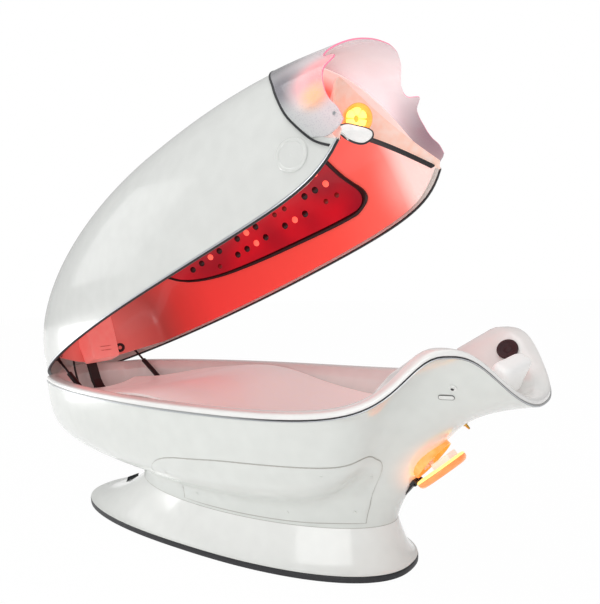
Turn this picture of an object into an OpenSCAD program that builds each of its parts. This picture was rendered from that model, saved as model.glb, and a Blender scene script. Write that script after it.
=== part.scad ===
// Infrared wellness pod: a GRP tub on a flared plinth, with a canopy that opens at the foot end.
// +X runs to the head end, +Z up. The origin is on the floor, at the centre of the floor oval.

/* [Plinth] */
// Half length of the floor oval
floor_l = 780; // [750:5:810]
// Half width of the floor oval
floor_w = 287; // [275:1:300]
// Height of the black rubber floor trim
trim_h = 22; // [16:1:28]
// Thickness of the floor trim
trim_t = 14; // [10:1:18]
// Height of the seam between plinth and tub
waist_z = 149; // [140:1:160]
// Half length of the oval at that seam
waist_l = 588; // [570:2:600]
// Half width of the oval at that seam
waist_w = 227; // [220:1:235]
// Distance of the seam's centre from the origin
waist_x = 135; // [125:1:145]

/* [Tub] */
// Half width of the tub at its rim
tub_w = 438; // [425:1:450]
// Length of the tub from its widest place to the foot end
foot_l = 1200; // [1180:2:1220]
// Length of the tub from its widest place to the head end
head_l = 1042; // [1030:2:1056]
// Distance of the widest place from the origin
wide_x = 160; // [150:1:170]
// Height of the rim along the sides
rim_z = 546; // [530:1:560]
// Rise of the two humps beside the head
hump_h = 195; // [180:1:205]
// Wall of the tub and plinth mouldings
skin = 8; // [6:0.5:10]
// Height of the white flange above the dark rim line
flange_h = 24; // [20:1:28]
// Depth of the dark rim line
accent_h = 7; // [5:0.5:9]
// Height of the floor inside the tub
well_z = 400; // [395:1:410]
// How far the tub draws in at the foot end, so that the canopy passes outside it
tail_in = 60; // [56:1:64]

/* [Bed] */
// Thickness of the contoured bed
bed_t = 18; // [14:1:22]
// Height of the knee hump's top
knee_z = 592; // [580:1:600]
// Height of the seat hollow
seat_z = 462; // [455:1:470]
// Pillow across, deep and thick
pillow = [250, 110, 62]; // [40:1:280]

/* [Canopy] */
// Height of the canopy above its own rim
crown_h = 575; // [560:1:590]
// Wall of the canopy mouldings
shell_t = 8; // [6:0.5:10]
// Distance between the canopy's outer and inner mouldings
liner_in = 34; // [30:1:40]
// How far the canopy stands open in the photographed position
open_deg = 21.13; // [15:0.1:22]
// Gap between the closed canopy's seal and the tub's flange
rest_gap = 2; // [1:0.5:3]
// Thickness of the translucent visor
visor_t = 5; // [4:0.5:6]
// Diameter of the face lamp
lamp_d = 116; // [100:1:124]
// Diameter of the round boss on the canopy's side
emblem_d = 100; // [80:1:110]

/* [Hinge] */
// Hinge axis: distance from the origin along X
hinge_x = -866; // [-870:0.5:-862]
// Hinge axis: height above the floor
hinge_z = 628.5; // [624:0.5:632]
// Diameter of the hinge pin
pin_d = 20; // [16:0.5:24]
// Running clearance of pins in their bores, on the radius
run = 0.05; // [0.02:0.01:0.1]
// Distance of the gas struts from the middle plane
strut_y = 205; // [200:0.5:208]
// Diameter of a gas strut's cylinder
barrel_d = 22; // [18:0.5:24]
// Diameter of a gas strut's rod
rod_d = 10; // [8:0.5:10]
// Clearance of the strut's upper eye on its stud, on the radius
eye_play = 3.2; // [3:0.1:4]

/* [Aroma door] */
// Diameter of the amber door under the head end
door_d = 178; // [170:1:186]
// Thickness of the amber door
door_t = 12; // [9:0.5:14]
// Angle by which the door stands open in the photographed position
door_deg = 12; // [8:0.5:14]

/* [Hidden] */

tail_x = wide_x - foot_l;
flange_z = flange_h + rest_gap + 2;
crown_x = 140;
crown_head = 1203;
section_p = 2.35;
head_n = 2.54;
hump_x = 1031;
ring_n = 60;

// Shape functions shared by the pieces

function mix(a, b, f) = a + (b - a) * f;
function clamp(v) = max(0, min(1, v));
function ease(v) = let (f = clamp(v)) f * f * (3 - 2 * f);
function power(v, e) = sign(v) * pow(abs(v), e);
function slope(p, i) = i == 0 ? (p[1][1] - p[0][1]) / (p[1][0] - p[0][0])
    : i == len(p) - 1 ? (p[i][1] - p[i - 1][1]) / (p[i][0] - p[i - 1][0])
    : (p[i + 1][1] - p[i - 1][1]) / (p[i + 1][0] - p[i - 1][0]);
function span_at(p, x, i = 0) = i >= len(p) - 2 || x < p[i + 1][0] ? i : span_at(p, x, i + 1);
// Smooth curve through points [x, y], level beyond both ends
function curve(p, x) = let (
    i = span_at(p, x),
    h = p[i + 1][0] - p[i][0],
    f = clamp((x - p[i][0]) / h))
    p[i][1] * (2 * f * f * f - 3 * f * f + 1) + slope(p, i) * h * (f * f * f - 2 * f * f + f)
    + p[i + 1][1] * (3 * f * f - 2 * f * f * f) + slope(p, i + 1) * h * (f * f * f - f * f);

// Solid whose rows of points close on themselves in both directions
module ring_solid(rows, turned = false) {
    n = len(rows);
    m = len(rows[0]);
    polyhedron([for (r = rows) each r], [for (i = [0 : n - 1]) for (j = [0 : m - 1])
        let (a = i * m + j, b = i * m + (j + 1) % m, c = ((i + 1) % n) * m + (j + 1) % m, d = ((i + 1) % n) * m + j)
        each turned ? [[a, c, d], [a, b, c]] : [[a, d, c], [a, c, b]]], convexity = 8);
}

// Solid between two open grids of points, closed along its four borders
module sheet_solid(top, under) {
    n = len(top);
    m = len(top[0]);
    k = n * m;
    polyhedron(concat([for (r = top) each r], [for (r = under) each r]), concat(
        [for (i = [0 : n - 2]) for (j = [0 : m - 2]) let (a = i * m + j)
            each [[a, a + m + 1, a + 1], [a, a + m, a + m + 1]]],
        [for (i = [0 : n - 2]) for (j = [0 : m - 2]) let (a = k + i * m + j)
            each [[a, a + 1, a + m + 1], [a, a + m + 1, a + m]]],
        [for (j = [0 : m - 2]) each [[j, j + 1, k + j + 1], [j, k + j + 1, k + j]]],
        [for (j = [0 : m - 2]) let (a = (n - 1) * m + j) each [[a, k + a + 1, a + 1], [a, k + a, k + a + 1]]],
        [for (i = [0 : n - 2]) let (a = i * m) each [[a, k + a, k + a + m], [a, k + a + m, a + m]]],
        [for (i = [0 : n - 2]) let (a = i * m + m - 1) each [[a, k + a + m, k + a], [a, a + m, k + a + m]]]
    ), convexity = 8);
}

// Tube along points, with a round section of radius r and s sides
module tube(path, r, s = 8) {
    n = len(path);
    function along(i) = let (a = path[max(0, i - 1)], b = path[min(n - 1, i + 1)], d = b - a) d / norm(d);
    function side(i) = let (d = along(i), c = cross(d, [0.13, 0.97, 0.2])) c / norm(c);
    pts = [for (i = [0 : n - 1]) let (u = side(i), v = cross(along(i), u))
        for (j = [0 : s - 1]) path[i] + r * (cos(360 * j / s) * u + sin(360 * j / s) * v)];
    polyhedron(pts, concat(
        [[for (j = [0 : s - 1]) j]],
        [[for (j = [0 : s - 1]) n * s - 1 - j]],
        [for (i = [0 : n - 2]) for (j = [0 : s - 1])
            let (a = i * s + j, b = i * s + (j + 1) % s)
            each [[a, a + s, b + s], [a, b + s, b]]]), convexity = 8);
}

// Tub: plan of the rim, drawn in by d, and the height of its dark line

function hump(x) = let (d = abs(x - hump_x)) x < hump_x
    ? hump_h / (1 + pow(d / 131, 2.28))
    : hump_h * (1.439 / (1 + pow(d / 155.3, 2.93)) - 0.439);
function rim_h(x) = rim_z + hump(x);
function tail_inset(x) = tail_in * ease((tail_x + 240 - x) / 130);
function oval(t, lf, lh, w, n) = cos(t) < 0 ? [lf * cos(t), w * sin(t)]
    : [lh * power(cos(t), 2 / n), w * power(sin(t), 2 / n)];
function rim_xy(t, d) = let (
    p = oval(t, foot_l, head_l, tub_w, head_n),
    e = d + tail_inset(p[0] + wide_x),
    q = oval(t, foot_l - e, head_l - d, tub_w - e, head_n))
    [q[0] + wide_x, q[1]];
function waist_xy(t, d) = [waist_x + (waist_l - d) * cos(t), (waist_w - d) * sin(t)];

// Belly of the tub, from the waist (v = 0) to the rim (v = 1)

function belly(v) = let (f = pow(v / 0.33, 4), g = pow(1 / 0.33, 4)) (f / (1 + f)) * (1 + g) / g;
function scoop(v) = 0.646 * pow(v, 1.32) + 0.354 * pow(v, 11.35);
function shell_pt(t, v, d) = let (
    a = waist_xy(t, d),
    b = rim_xy(t, d),
    k = pow(max(0, cos(t)), 1.5),
    f = mix(belly(v), scoop(v), k),
    top = rim_h(rim_xy(t, 0)[0]))
    [mix(a[0], b[0], f), mix(a[1], b[1], f), mix(waist_z, top, v) + d * sin(180 * v)];
function turns(n) = [for (j = [0 : n - 1]) 360 * j / n];

// Heights inside the tub

function well(x) = curve([[-930, well_z + 50], [-870, well_z + 34], [-810, well_z + 14], [-690, well_z + 14],
    [-655, well_z], [-640, well_z], [560, well_z], [610, well_z + 1], [705, well_z + 28], [822, well_z + 90],
    [909, well_z + 130]], x);
function bed_z(x) = curve([[-720, 497], [-560, 512], [-320, 556], [-80, knee_z], [60, knee_z - 22],
    [260, seat_z + 28], [430, seat_z], [600, seat_z + 6], [760, 508], [880, 564], [935, 590]], x);
function bed_w(x) = curve([[-720, 140], [-640, 168], [-570, 180], [-520, 206], [-400, 290], [-80, 345],
    [200, 352], [400, 338], [600, 278], [730, 188], [840, 122], [935, 74]], x);
// Rise of the bed's edges above its middle: they droop beside the knee hump
function bed_rise(x) = curve([[-720, 8], [-400, 0], [-80, -24], [60, -14], [260, 20], [430, 26], [935, 26]], x);
function bed_pt(x, f) = bed_z(x) + bed_rise(x) * pow(abs(f), 3) - 10 * (1 - f * f);

// Canopy in its closed place: crown line, half width and rim, all drawn in by d

function canopy_tail(d) = tail_x + d;
function crown_z(x, d) = let (
    u = clamp(x < crown_x ? (crown_x - x) / (crown_x - tail_x) : (x - crown_x) / crown_head),
    m = x < crown_x ? 1.886 : 2.4)
    rim_z + flange_z + crown_h * pow(1 - pow(u, m), 1 / m) - d;
function canopy_w(x, d) = let (
    u = clamp(x < wide_x ? (wide_x - x) / (foot_l - d) : (x - wide_x) / 1046),
    n = x < wide_x ? 2 : 2.65)
    (tub_w - d) * pow(1 - pow(u, n), 1 / n);
function canopy_pt(x, a, d, lift = 0) = let (
    zb = rim_h(x) + flange_z + lift,
    z = crown_z(x, d))
    [x, canopy_w(x, d) * power(cos(a), 2 / section_p), zb + max(0.5, z - zb) * power(sin(a), 2 / section_p)];

// Edges of the white shell and of the visor, as X against the angle round the section
function fold(a) = min(a, 180 - a);
function seam_x(a) = curve([[0, 917], [3, 897], [7.2, 873], [14.8, 843], [22.7, 817], [35.2, 792],
    [42.6, 779], [55, 751], [70, 728], [90, 716]], fold(a));
function visor_x(a) = curve([[0.6, 950], [6, 946], [13, 932], [20, 926], [32, 932], [36.4, 966], [43, 929],
    [50, 933], [57, 957], [64, 983], [72, 1004], [80, 1019], [90, 1029]], fold(a));
function visor_foot(a) = curve([[0.6, 941], [3, 900], [7.2, 862], [12, 800], [20, 640]], fold(a));

// Edge of the face opening and the top of the panel above it, against the distance from the middle
function arch_pt(y) = let (k = pow(abs(y) / 350, 2.6)) [835 + 85 * k, y, 807 - 126 * k];
function brow_top(y) = let (k = abs(y) / 338)
    [835 + 95 * pow(k, 1.7), y, 1024 - 314 * (sqrt(k * k + 0.01) - 0.1) / 0.905];

// Places the canopy, drawn closed, in its photographed position
module opened(deg = open_deg) {
    translate([hinge_x, 0, hinge_z]) rotate([0, -deg, 0]) translate([-hinge_x, 0, -hinge_z]) children();
}

// Plinth

function floor_xy(t, d) = oval(t, floor_l - d, floor_l - d, floor_w - d, 2.35);
function floor_ring(t, d, z) = let (
    p = [(floor_l - d) * power(cos(t), 0.851), (floor_w - d) * power(sin(t), 0.851)]) [p[0], p[1], z];

module floor_trim() {
    color("#26262a") ring_solid([
        [for (t = turns(ring_n)) floor_ring(t, 1, 0)],
        [for (t = turns(ring_n)) floor_ring(t, 0, trim_h * 0.3)],
        [for (t = turns(ring_n)) floor_ring(t, 0, trim_h * 0.8)],
        [for (t = turns(ring_n)) floor_ring(t, 4, trim_h)],
        [for (t = turns(ring_n)) floor_ring(t, trim_t, trim_h)],
        [for (t = turns(ring_n)) floor_ring(t, trim_t, 0)]]);
}

foot_places = [[-420, 0], [-250, 130], [-250, -130], [520, 130], [520, -130], [650, 0]];
foot_d = 56;
pan_t = 5;

module base_pan() {
    color("#3a3d42") difference() {
        linear_extrude(pan_t) polygon([for (t = turns(ring_n)) let (p = floor_ring(t, trim_t + 0.5, 0)) [p[0], p[1]]]);
        for (p = foot_places) translate([p[0], p[1], -1]) cylinder(d = foot_d + 8, h = pan_t + 2, $fn = 48);
    }
}

rail_z = 40;
rail_s = 40;
module levelling_feet() {
    color("#6f7378") for (p = foot_places) translate([p[0], p[1], 0]) {
        cylinder(d = foot_d, h = 8, $fn = 48);
        translate([0, 0, 8]) cylinder(d1 = 34, d2 = 22, h = 6, $fn = 48);
        cylinder(d = 14, h = rail_z, $fn = 32);
        translate([0, 0, rail_z - 10]) cylinder(d = 26, h = 10, $fn = 6);
    }
}

// Skirt that flares from the waist to the floor, steeper toward the top
function skirt_pt(t, v, d) = let (
    a = floor_ring(t, 1.5 + d, 0),
    b = waist_xy(t, d))
    [mix(a[0], b[0], v), mix(a[1], b[1], v), mix(trim_h, waist_z, pow(v, 1.75)) - d * 1.1 * sin(180 * v)];
module plinth_skirt() {
    steps = [0, 0.22, 0.44, 0.64, 0.82, 0.93, 1];
    color("#f4f4f2") ring_solid(concat(
        [for (v = steps) [for (t = turns(ring_n)) skirt_pt(t, v, 0)]],
        [for (i = [len(steps) - 1 : -1 : 0]) [for (t = turns(ring_n)) skirt_pt(t, steps[i], skin)]]));
}

// Tub

cup_d = 150;
door_c = [866, 0, 370];
door_slope = 51;
module at_door(lift = 0) {
    translate(door_c) rotate([0, 180 - door_slope, 0]) translate([0, 0, lift]) children();
}

module lower_shell() {
    outer = [0, 0.08, 0.16, 0.24, 0.32, 0.4, 0.5, 0.62, 0.74, 0.84, 0.9, 0.95, 1];
    inner = [1, 0.93, 0.84, 0.7, 0.55, 0.43, 0.34, 0.25, 0.14, 0];
    color("#f4f4f2") difference() {
        ring_solid(concat(
            [for (v = outer) [for (t = turns(ring_n)) shell_pt(t, v, 0)]],
            [for (v = inner) [for (t = turns(ring_n)) shell_pt(t, v, skin)]]));
        at_door(-90) cylinder(d = cup_d + 1, h = 200, $fn = 64);
        at_button() translate([0, 0, -30]) cylinder(r = 9.2, h = 60, $fn = 32);
    }
}

// Outline of the service panel: its top edge, as a share of the tub's height against the angle round it
function panel_top(t) = curve([[254, 0.1], [259, 0.34], [264, 0.53], [268, 0.6], [279, 0.657], [300, 0.62],
    [322, 0.457], [329.4, 0.379], [334.5, 0.14]], t);
function panel_pt(f, g, d) = let (t = mix(254, 334.5, f)) shell_pt(t, mix(0.03, panel_top(t), g), -d);
module service_panel() {
    color("#f1f1ef") sheet_solid(
        [for (i = [0 : 26]) [for (j = [0 : 8]) panel_pt(i / 26, j / 8, 0.8)]],
        [for (i = [0 : 26]) [for (j = [0 : 8]) panel_pt(i / 26, j / 8, 3.4)]]);
}

// Frame of a point on the outside of the tub: the point and the direction out of the hull
function on_hull(t, v) = let (
    p = shell_pt(t, v, 0),
    n = cross(shell_pt(t + 1, v, 0) - p, shell_pt(t, v + 0.01, 0) - p))
    [p, n / norm(n)];
// The same for the inner wall of the tub, with the direction into the tub
function on_wall(t, f) = let (
    p = wall_pt(t, f, 0),
    n = cross(wall_pt(t + 1, f, 0) - p, wall_pt(t, f + 0.01, 0) - p))
    [p, n / norm(n)];
module at_frame(f, lift = 0) {
    translate(f[0]) rotate([0, acos(f[1][2]), atan2(f[1][1], f[1][0])]) translate([0, 0, lift]) children();
}

module panel_screws() {
    color("#9a9da1") for (f = [[262, 0.12], [266, 0.46], [300, 0.56], [300, 0.1], [326, 0.34], [328, 0.1]])
        at_frame(on_hull(f[0], f[1]), 3.5) cylinder(d = 9, h = 2.4, $fn = 24);
}

module rim_accent() {
    function at(t, d, z) = let (p = rim_xy(t, d)) [p[0], p[1], rim_h(rim_xy(t, 0)[0]) + z];
    color("#3b3a3e") ring_solid([
        [for (t = turns(ring_n)) at(t, 1, 0.3)],
        [for (t = turns(ring_n)) at(t, -1.5, accent_h / 2)],
        [for (t = turns(ring_n)) at(t, 1, accent_h - 0.3)],
        [for (t = turns(ring_n)) at(t, 9, accent_h - 0.3)],
        [for (t = turns(ring_n)) at(t, 9, 0.3)]]);
}

// Liner: flange over the rim, wall down to the well, floor across
function liner_pt(t, d, z) = let (p = rim_xy(t, d)) [p[0], p[1], rim_h(rim_xy(t, 0)[0]) + z];
// Share of the way from waist to rim: at the hull's own height, and at the edge of the well's floor
function hull_share(t, z, top) = let (v = (z - waist_z) / (top - waist_z))
    mix(belly(v), scoop(v), pow(max(0, cos(t)), 1.5));
function floor_share(t) = curve([[0, 0.47], [10, 0.43], [20, 0.365], [30, 0.31], [40, 0.345], [50, 0.46],
    [60, 0.59], [75, 0.76], [90, 0.84], [180, 0.86]], t > 180 ? 360 - t : t);
function wall_pt(t, f, o) = let (
    a = waist_xy(t, 30 - o),
    b = rim_xy(t, 56 - o),
    rim = rim_h(rim_xy(t, 0)[0]),
    low = well(mix(a[0], b[0], floor_share(t))),
    z = mix(rim + flange_h - 8, low, 1 - pow(1 - f, 1.8)),
    h = min(mix(1, floor_share(t), f), hull_share(t, z, rim) - 0.06))
    [mix(a[0], b[0], h), mix(a[1], b[1], h), z - o * f];
module tub_liner() {
    n = 60;
    levels = [0.1, 0.24, 0.42, 0.62, 0.82, 1];
    rows = concat(
        [for (f = [5 : -1 : 1]) [for (t = turns(n)) wall_pt(t, levels[f], 7)]],
        [[for (t = turns(n)) liner_pt(t, 50, flange_h - 22)]],
        [[for (t = turns(n)) liner_pt(t, 36, flange_h - 6)]],
        [[for (t = turns(n)) liner_pt(t, 12, accent_h)]],
        [[for (t = turns(n)) liner_pt(t, 0.5, accent_h)]],
        [[for (t = turns(n)) liner_pt(t, 0, flange_h - 7)]],
        [[for (t = turns(n)) liner_pt(t, 5, flange_h - 1.5)]],
        [[for (t = turns(n)) liner_pt(t, 16, flange_h)]],
        [[for (t = turns(n)) liner_pt(t, 40, flange_h)]],
        [[for (t = turns(n)) liner_pt(t, 53, flange_h - 6)]],
        [for (f = levels) [for (t = turns(n)) wall_pt(t, f, 0)]]);
    k = len(rows);
    h = n / 2;
    // The floor joins the points of each side to those opposite
    function cap(r, up) = [for (j = [0 : h - 1]) let (
        a = r * n + j, b = r * n + j + 1, c = r * n + (n - j) % n, d = r * n + n - j - 1)
        each (j == 0 ? [up ? [a, b, d] : [a, d, b]]
            : j == h - 1 ? [up ? [a, b, c] : [a, c, b]]
            : up ? [[a, b, d], [a, d, c]] : [[a, d, b], [a, c, d]])];
    color("#f6f5f4") polyhedron([for (r = rows) each r], concat(
        [for (i = [0 : k - 2]) for (j = [0 : n - 1])
            let (a = i * n + j, b = i * n + (j + 1) % n, c = (i + 1) * n + (j + 1) % n, d = (i + 1) * n + j)
            each [[a, d, c], [a, c, b]]],
        cap(0, true), cap(k - 1, false)), convexity = 10);
}

module bed_panel() {
    xs = [for (i = [0 : 30]) mix(-720, 935, i / 30)];
    function row(x, o) = [for (j = [0 : 10]) let (f = -1 + 0.2 * j)
        [x, bed_w(x) * f, bed_pt(x, f) - o]];
    color("#f7f1f0") sheet_solid([for (x = xs) row(x, bed_t)], [for (x = xs) row(x, 0)]);
}

mount_places = [for (x = [-500, -180, 180, 480]) for (y = [-110, 110]) [x, y]];
module bed_mounts() {
    color("#2c2c30") for (p = mount_places) {
        x = p[0];
        z = well(x);
        f = p[1] / bed_w(x);
        top = bed_pt(x, f) - bed_t;
        translate([x, p[1], z + 0.2]) cylinder(d = 44, h = 6, $fn = 32);
        translate([x, p[1], z + 0.2]) cylinder(d = 28, h = top - z + 2, $fn = 32);
    }
}

// Pillow: a crowned form whose sides draw in between its corners
module head_pillow() {
    n = 28;
    m = 9;
    function at(t, p) = let (
        c = power(cos(t), 0.55), s = power(sin(t), 0.55),
        pinch = 0.95 + 0.05 * pow(abs(sin(2 * t)), 0.7),
        r = pow(cos(p), 0.75))
        [pillow[1] / 2 * c * r * pinch, pillow[0] / 2 * s * r * pinch,
         pillow[2] / 2 * power(sin(p), 0.8) * (1 + 0.08 * cos(p))];
    rows = [for (i = [0 : m]) let (p = -80 + 160 * i / m) [for (j = [0 : n - 1]) at(360 * j / n, p)]];
    color("#fbfaf9") translate([1098, 0, 649.2]) rotate([0, -65, 0]) polyhedron([for (r = rows) each r], concat(
        [for (i = [0 : m - 1]) for (j = [0 : n - 1])
            let (a = i * n + j, b = i * n + (j + 1) % n)
            each [[a, a + n, b + n], [a, b + n, b]]],
        [[for (j = [0 : n - 1]) j]],
        [[for (j = [0 : n - 1]) m * n + n - 1 - j]]), convexity = 4);
}

speaker_d = 68;
speaker_at = [25.5, 0.27];
function ledge(t) = mix(liner_pt(t, 53, flange_h - 6), wall_pt(t, 0.1, 0), speaker_at[1]);
function on_ledge(t) = let (
    n = cross(ledge(t + 1) - ledge(t - 1), wall_pt(t, 0.1, 0) - liner_pt(t, 53, flange_h - 6)))
    [ledge(t), n / norm(n)];
module speaker(s) {
    at_frame(on_ledge(s * speaker_at[0]), 6.6) {
        rotate_extrude($fn = 48) polygon([[speaker_d / 2 - 9, 0], [speaker_d / 2 - 2, -5.6], [speaker_d / 2, 0],
            [speaker_d / 2, 3], [speaker_d / 2 - 3, 6], [speaker_d / 2 - 9, 4]]);
        rotate_extrude($fn = 48) polygon([[0, -5.6], [speaker_d / 2 - 3, -5.6], [speaker_d / 2 - 9, 0],
            [speaker_d / 2 - 9, 2.5], [13, -2.4], [9, 0], [0, 1.5]]);
    }
}
module speaker_near() { color("#3c2526") speaker(-1); }
module speaker_far() { color("#3c2526") speaker(1); }

// Inside the plinth

rail_y = 130;
deck_z = rail_z + rail_s;
module pedestal_frame() {
    color("#54585e") difference() {
        union() {
            for (s = [-1, 1]) {
                translate([-310, s * rail_y - rail_s / 2, rail_z]) cube([900, rail_s, rail_s]);
                translate([-420, s * rail_y - rail_s / 2, well_z - 47.3]) cube([1080, rail_s, rail_s]);
                for (x = [-260, 110, 466])
                    translate([x, s * rail_y - rail_s / 2, rail_z]) cube([rail_s, rail_s, well_z - 7.3 - rail_z]);
            }
            for (x = [-260, 110, 466]) {
                translate([x, -rail_y, rail_z]) cube([rail_s, 2 * rail_y, rail_s]);
                translate([x, -rail_y, well_z - 47.3]) cube([rail_s, 2 * rail_y, rail_s]);
            }
            translate([-440, -20, rail_z]) cube([200, rail_s, rail_s]);
            translate([490, -20, rail_z]) cube([180, rail_s, rail_s]);
            translate([-250, -rail_y, deck_z]) cube([750, 2 * rail_y, 3]);
        }
        for (x = [-180, 300]) translate([x, -60, deck_z - 1]) cube([90, 120, 6]);
    }
}

module power_supply() {
    color("#b9bcc0") translate([-75, 0, deck_z + 3]) difference() {
        translate([-80, -105, 0]) cube([160, 210, 90]);
        for (i = [-4 : 4]) translate([-81, i * 20 - 4, 60]) cube([6, 8, 20]);
        for (i = [-4 : 4]) translate([75, i * 20 - 4, 60]) cube([6, 8, 20]);
    }
}

module control_unit() {
    color("#2f5d46") translate([200, 0, deck_z + 3]) {
        for (x = [-52, 52]) for (y = [-72, 72]) translate([x, y, 0]) cylinder(d = 8, h = 12, $fn = 24);
        translate([-62, -82, 12]) cube([124, 164, 3]);
        for (i = [0 : 3]) translate([-45 + i * 26, -60, 15]) cube([16, 30, 18]);
        translate([-40, 5, 15]) cube([80, 50, 9]);
    }
}

module circulation_blower() {
    color("#34373b") translate([392, 0, deck_z + 3]) {
        difference() {
            union() {
                cylinder(d = 170, h = 80, $fn = 64);
                cube([110, 85, 80]);
            }
            translate([0, 0, 8]) cylinder(d = 120, h = 80, $fn = 64);
            translate([20, 8, 8]) cube([100, 69, 64]);
        }
        translate([0, 0, 6]) cylinder(d = 40, h = 60, $fn = 48);
        for (i = [0 : 11]) rotate([0, 0, 30 * i]) translate([18, -1.5, 6]) cube([36, 3, 56]);
    }
}

module vibration_motors() {
    color("#8b8f94") for (x = [-320, 300]) {
        z = min(bed_z(x - 30), bed_z(x + 30)) - 10.3 - bed_t;
        translate([x, 60, z - 21]) rotate([90, 0, 0]) cylinder(d = 36, h = 120, $fn = 48);
        translate([x - 30, -70, z - 5]) cube([60, 140, 5]);
        for (y = [-52, 44]) translate([x - 22, y, z - 30]) cube([44, 8, 26]);
    }
}

module power_inlet() {
    at = [-420, 0, 70];
    color("#202124") translate(skirt_pt(180, 0.55, 0)) rotate([0, -62, 0]) difference() {
        union() {
            translate([-17, -24, -14]) cube([34, 48, 15]);
            translate([-22, -30, 0.5]) cube([44, 60, 3]);
        }
        translate([-10, -15, -6]) cube([20, 30, 12]);
    }
}

// Push button on the near side of the tub, below the hump
button_at = [-25.2, 0.917];
module at_button() {
    at_frame(on_hull(button_at[0], button_at[1])) children();
}
module button_bezel() {
    color("#d9dadb") at_button() rotate_extrude($fn = 48)
        polygon([[6.3, -10], [9, -10], [9, 0.5], [11.5, 0.5], [11.5, 1.8], [9.8, 2.8], [6.3, 2.8]]);
}
module rim_button() {
    color("#2a2a2d") at_button() union() {
        translate([0, 0, -6]) cylinder(r = 6.25, h = 10.7, $fn = 48);
        translate([0, 0, 4.7]) cylinder(r1 = 6.25, r2 = 5, h = 1.2, $fn = 48);
    }
}
module control_plate() {
    color("#ecebea") at_frame(on_hull(-23.7, 0.88), 0.8) rotate([0, 0, 90]) linear_extrude(2)
        offset(r = 6) square([30, 3], center = true);
}

// Hinge at the foot end

post_w = 44;
post_line = [[hinge_x, hinge_z], [-822, 508], [-774, 440]];
post_d = [for (i = [0 : 1]) let (d = post_line[i + 1] - post_line[i]) d / norm(d)];
post_n = [for (d = post_d) [-d[1], d[0]]];
post_bend = (post_n[0] + post_n[1]) / (1 + post_n[0] * post_n[1]);
foot_x = -749;
lug_t = 12;
module hinge_bracket() {
    color("#1c1c1f") difference() {
        union() {
            translate([hinge_x, post_w / 2, hinge_z]) rotate([90, 0, 0]) cylinder(d = pin_d + 18, h = post_w, $fn = 64);
            translate([0, post_w / 2 - 0.5, 0]) rotate([90, 0, 0]) linear_extrude(post_w - 1) polygon([
                post_line[0] + 12 * post_d[0] + 9 * post_n[0], post_line[1] + 9 * post_bend,
                post_line[2] + 3 * post_d[1] + 9 * post_n[1], post_line[2] + 3 * post_d[1] - 9 * post_n[1],
                post_line[1] - 9 * post_bend, post_line[0] + 12 * post_d[0] - 9 * post_n[0]]);
            translate([foot_x - 50, -60, well(foot_x) + 1.2]) cube([100, 120, 10]);
            for (s = [-1, 1]) translate([foot_x, s * (post_w / 2 - 5) + 4, well(foot_x) + 4]) rotate([90, 0, 0])
                linear_extrude(8) polygon([[-46, 0], [46, 0], [10, 26], [-30, 54], [-66, 84], [-66, 60]]);
        }
        translate([hinge_x, post_w, hinge_z]) rotate([90, 0, 0]) cylinder(r = pin_d / 2 + run, h = 2 * post_w, $fn = 64);
    }
}

module bracket_bolts() {
    color("#cfd2d6") for (x = [-36, 36]) for (y = [-44, 44])
        translate([foot_x + x, y, well(foot_x) + 11.2]) {
            cylinder(d = 22, h = 2, $fn = 32);
            translate([0, 0, 2]) cylinder(d = 15, h = 7, $fn = 6);
            translate([0, 0, 9]) cylinder(d = 8, h = 4, $fn = 24);
        }
}

// Gas struts: the lower eye turns on the tub, the upper eye pulls on the canopy
strut_reach = 62;
strut_rise = 12;
strut_top = [hinge_x + strut_reach * cos(strut_rise), hinge_z + strut_reach * sin(strut_rise)];
strut_low = [-596, 482];
strut_v = strut_top - strut_low;
strut_l = norm(strut_v);
strut_a = atan2(strut_v[1], strut_v[0]);
barrel_l = 158;
eye_w = 12;
module at_strut(s) {
    translate([strut_low[0], s * strut_y, strut_low[1]]) rotate([0, -strut_a, 0]) children();
}
module strut_cylinder(s) {
    at_strut(s) {
        difference() {
            union() {
                translate([14, 0, 0]) rotate([0, 90, 0]) cylinder(d = barrel_d, h = barrel_l - 14, $fn = 48);
                rotate([0, 90, 0]) cylinder(d = 12, h = 20, $fn = 32);
                translate([0, eye_w / 2, 0]) rotate([90, 0, 0]) cylinder(d = 24, h = eye_w, $fn = 48);
            }
            translate([0, eye_w, 0]) rotate([90, 0, 0]) cylinder(r = 5 + run, h = 2 * eye_w, $fn = 48);
            translate([30, 0, 0]) rotate([0, 90, 0]) cylinder(r = rod_d / 2 + run, h = barrel_l, $fn = 48);
        }
    }
}
module strut_rod(s) {
    eye_r = 5 + eye_play;
    at_strut(s) difference() {
        union() {
            translate([62, 0, 0]) rotate([0, 90, 0]) cylinder(d = rod_d, h = strut_l - 62 - eye_r - 1, $fn = 48);
            translate([strut_l - 34, 0, 0]) rotate([0, 90, 0]) cylinder(d = 13, h = 24, $fn = 32);
            translate([strut_l, eye_w / 2, 0]) rotate([90, 0, 0]) cylinder(r = eye_r + 5, h = eye_w, $fn = 48);
        }
        translate([strut_l, eye_w, 0]) rotate([90, 0, 0]) cylinder(r = eye_r, h = 2 * eye_w, $fn = 48);
    }
}
module strut_cylinder_near() { color("#17171a") strut_cylinder(-1); }
module strut_cylinder_far() { color("#17171a") strut_cylinder(1); }
module strut_rod_near() { color("#303035") strut_rod(-1); }
module strut_rod_far() { color("#303035") strut_rod(1); }

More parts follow.
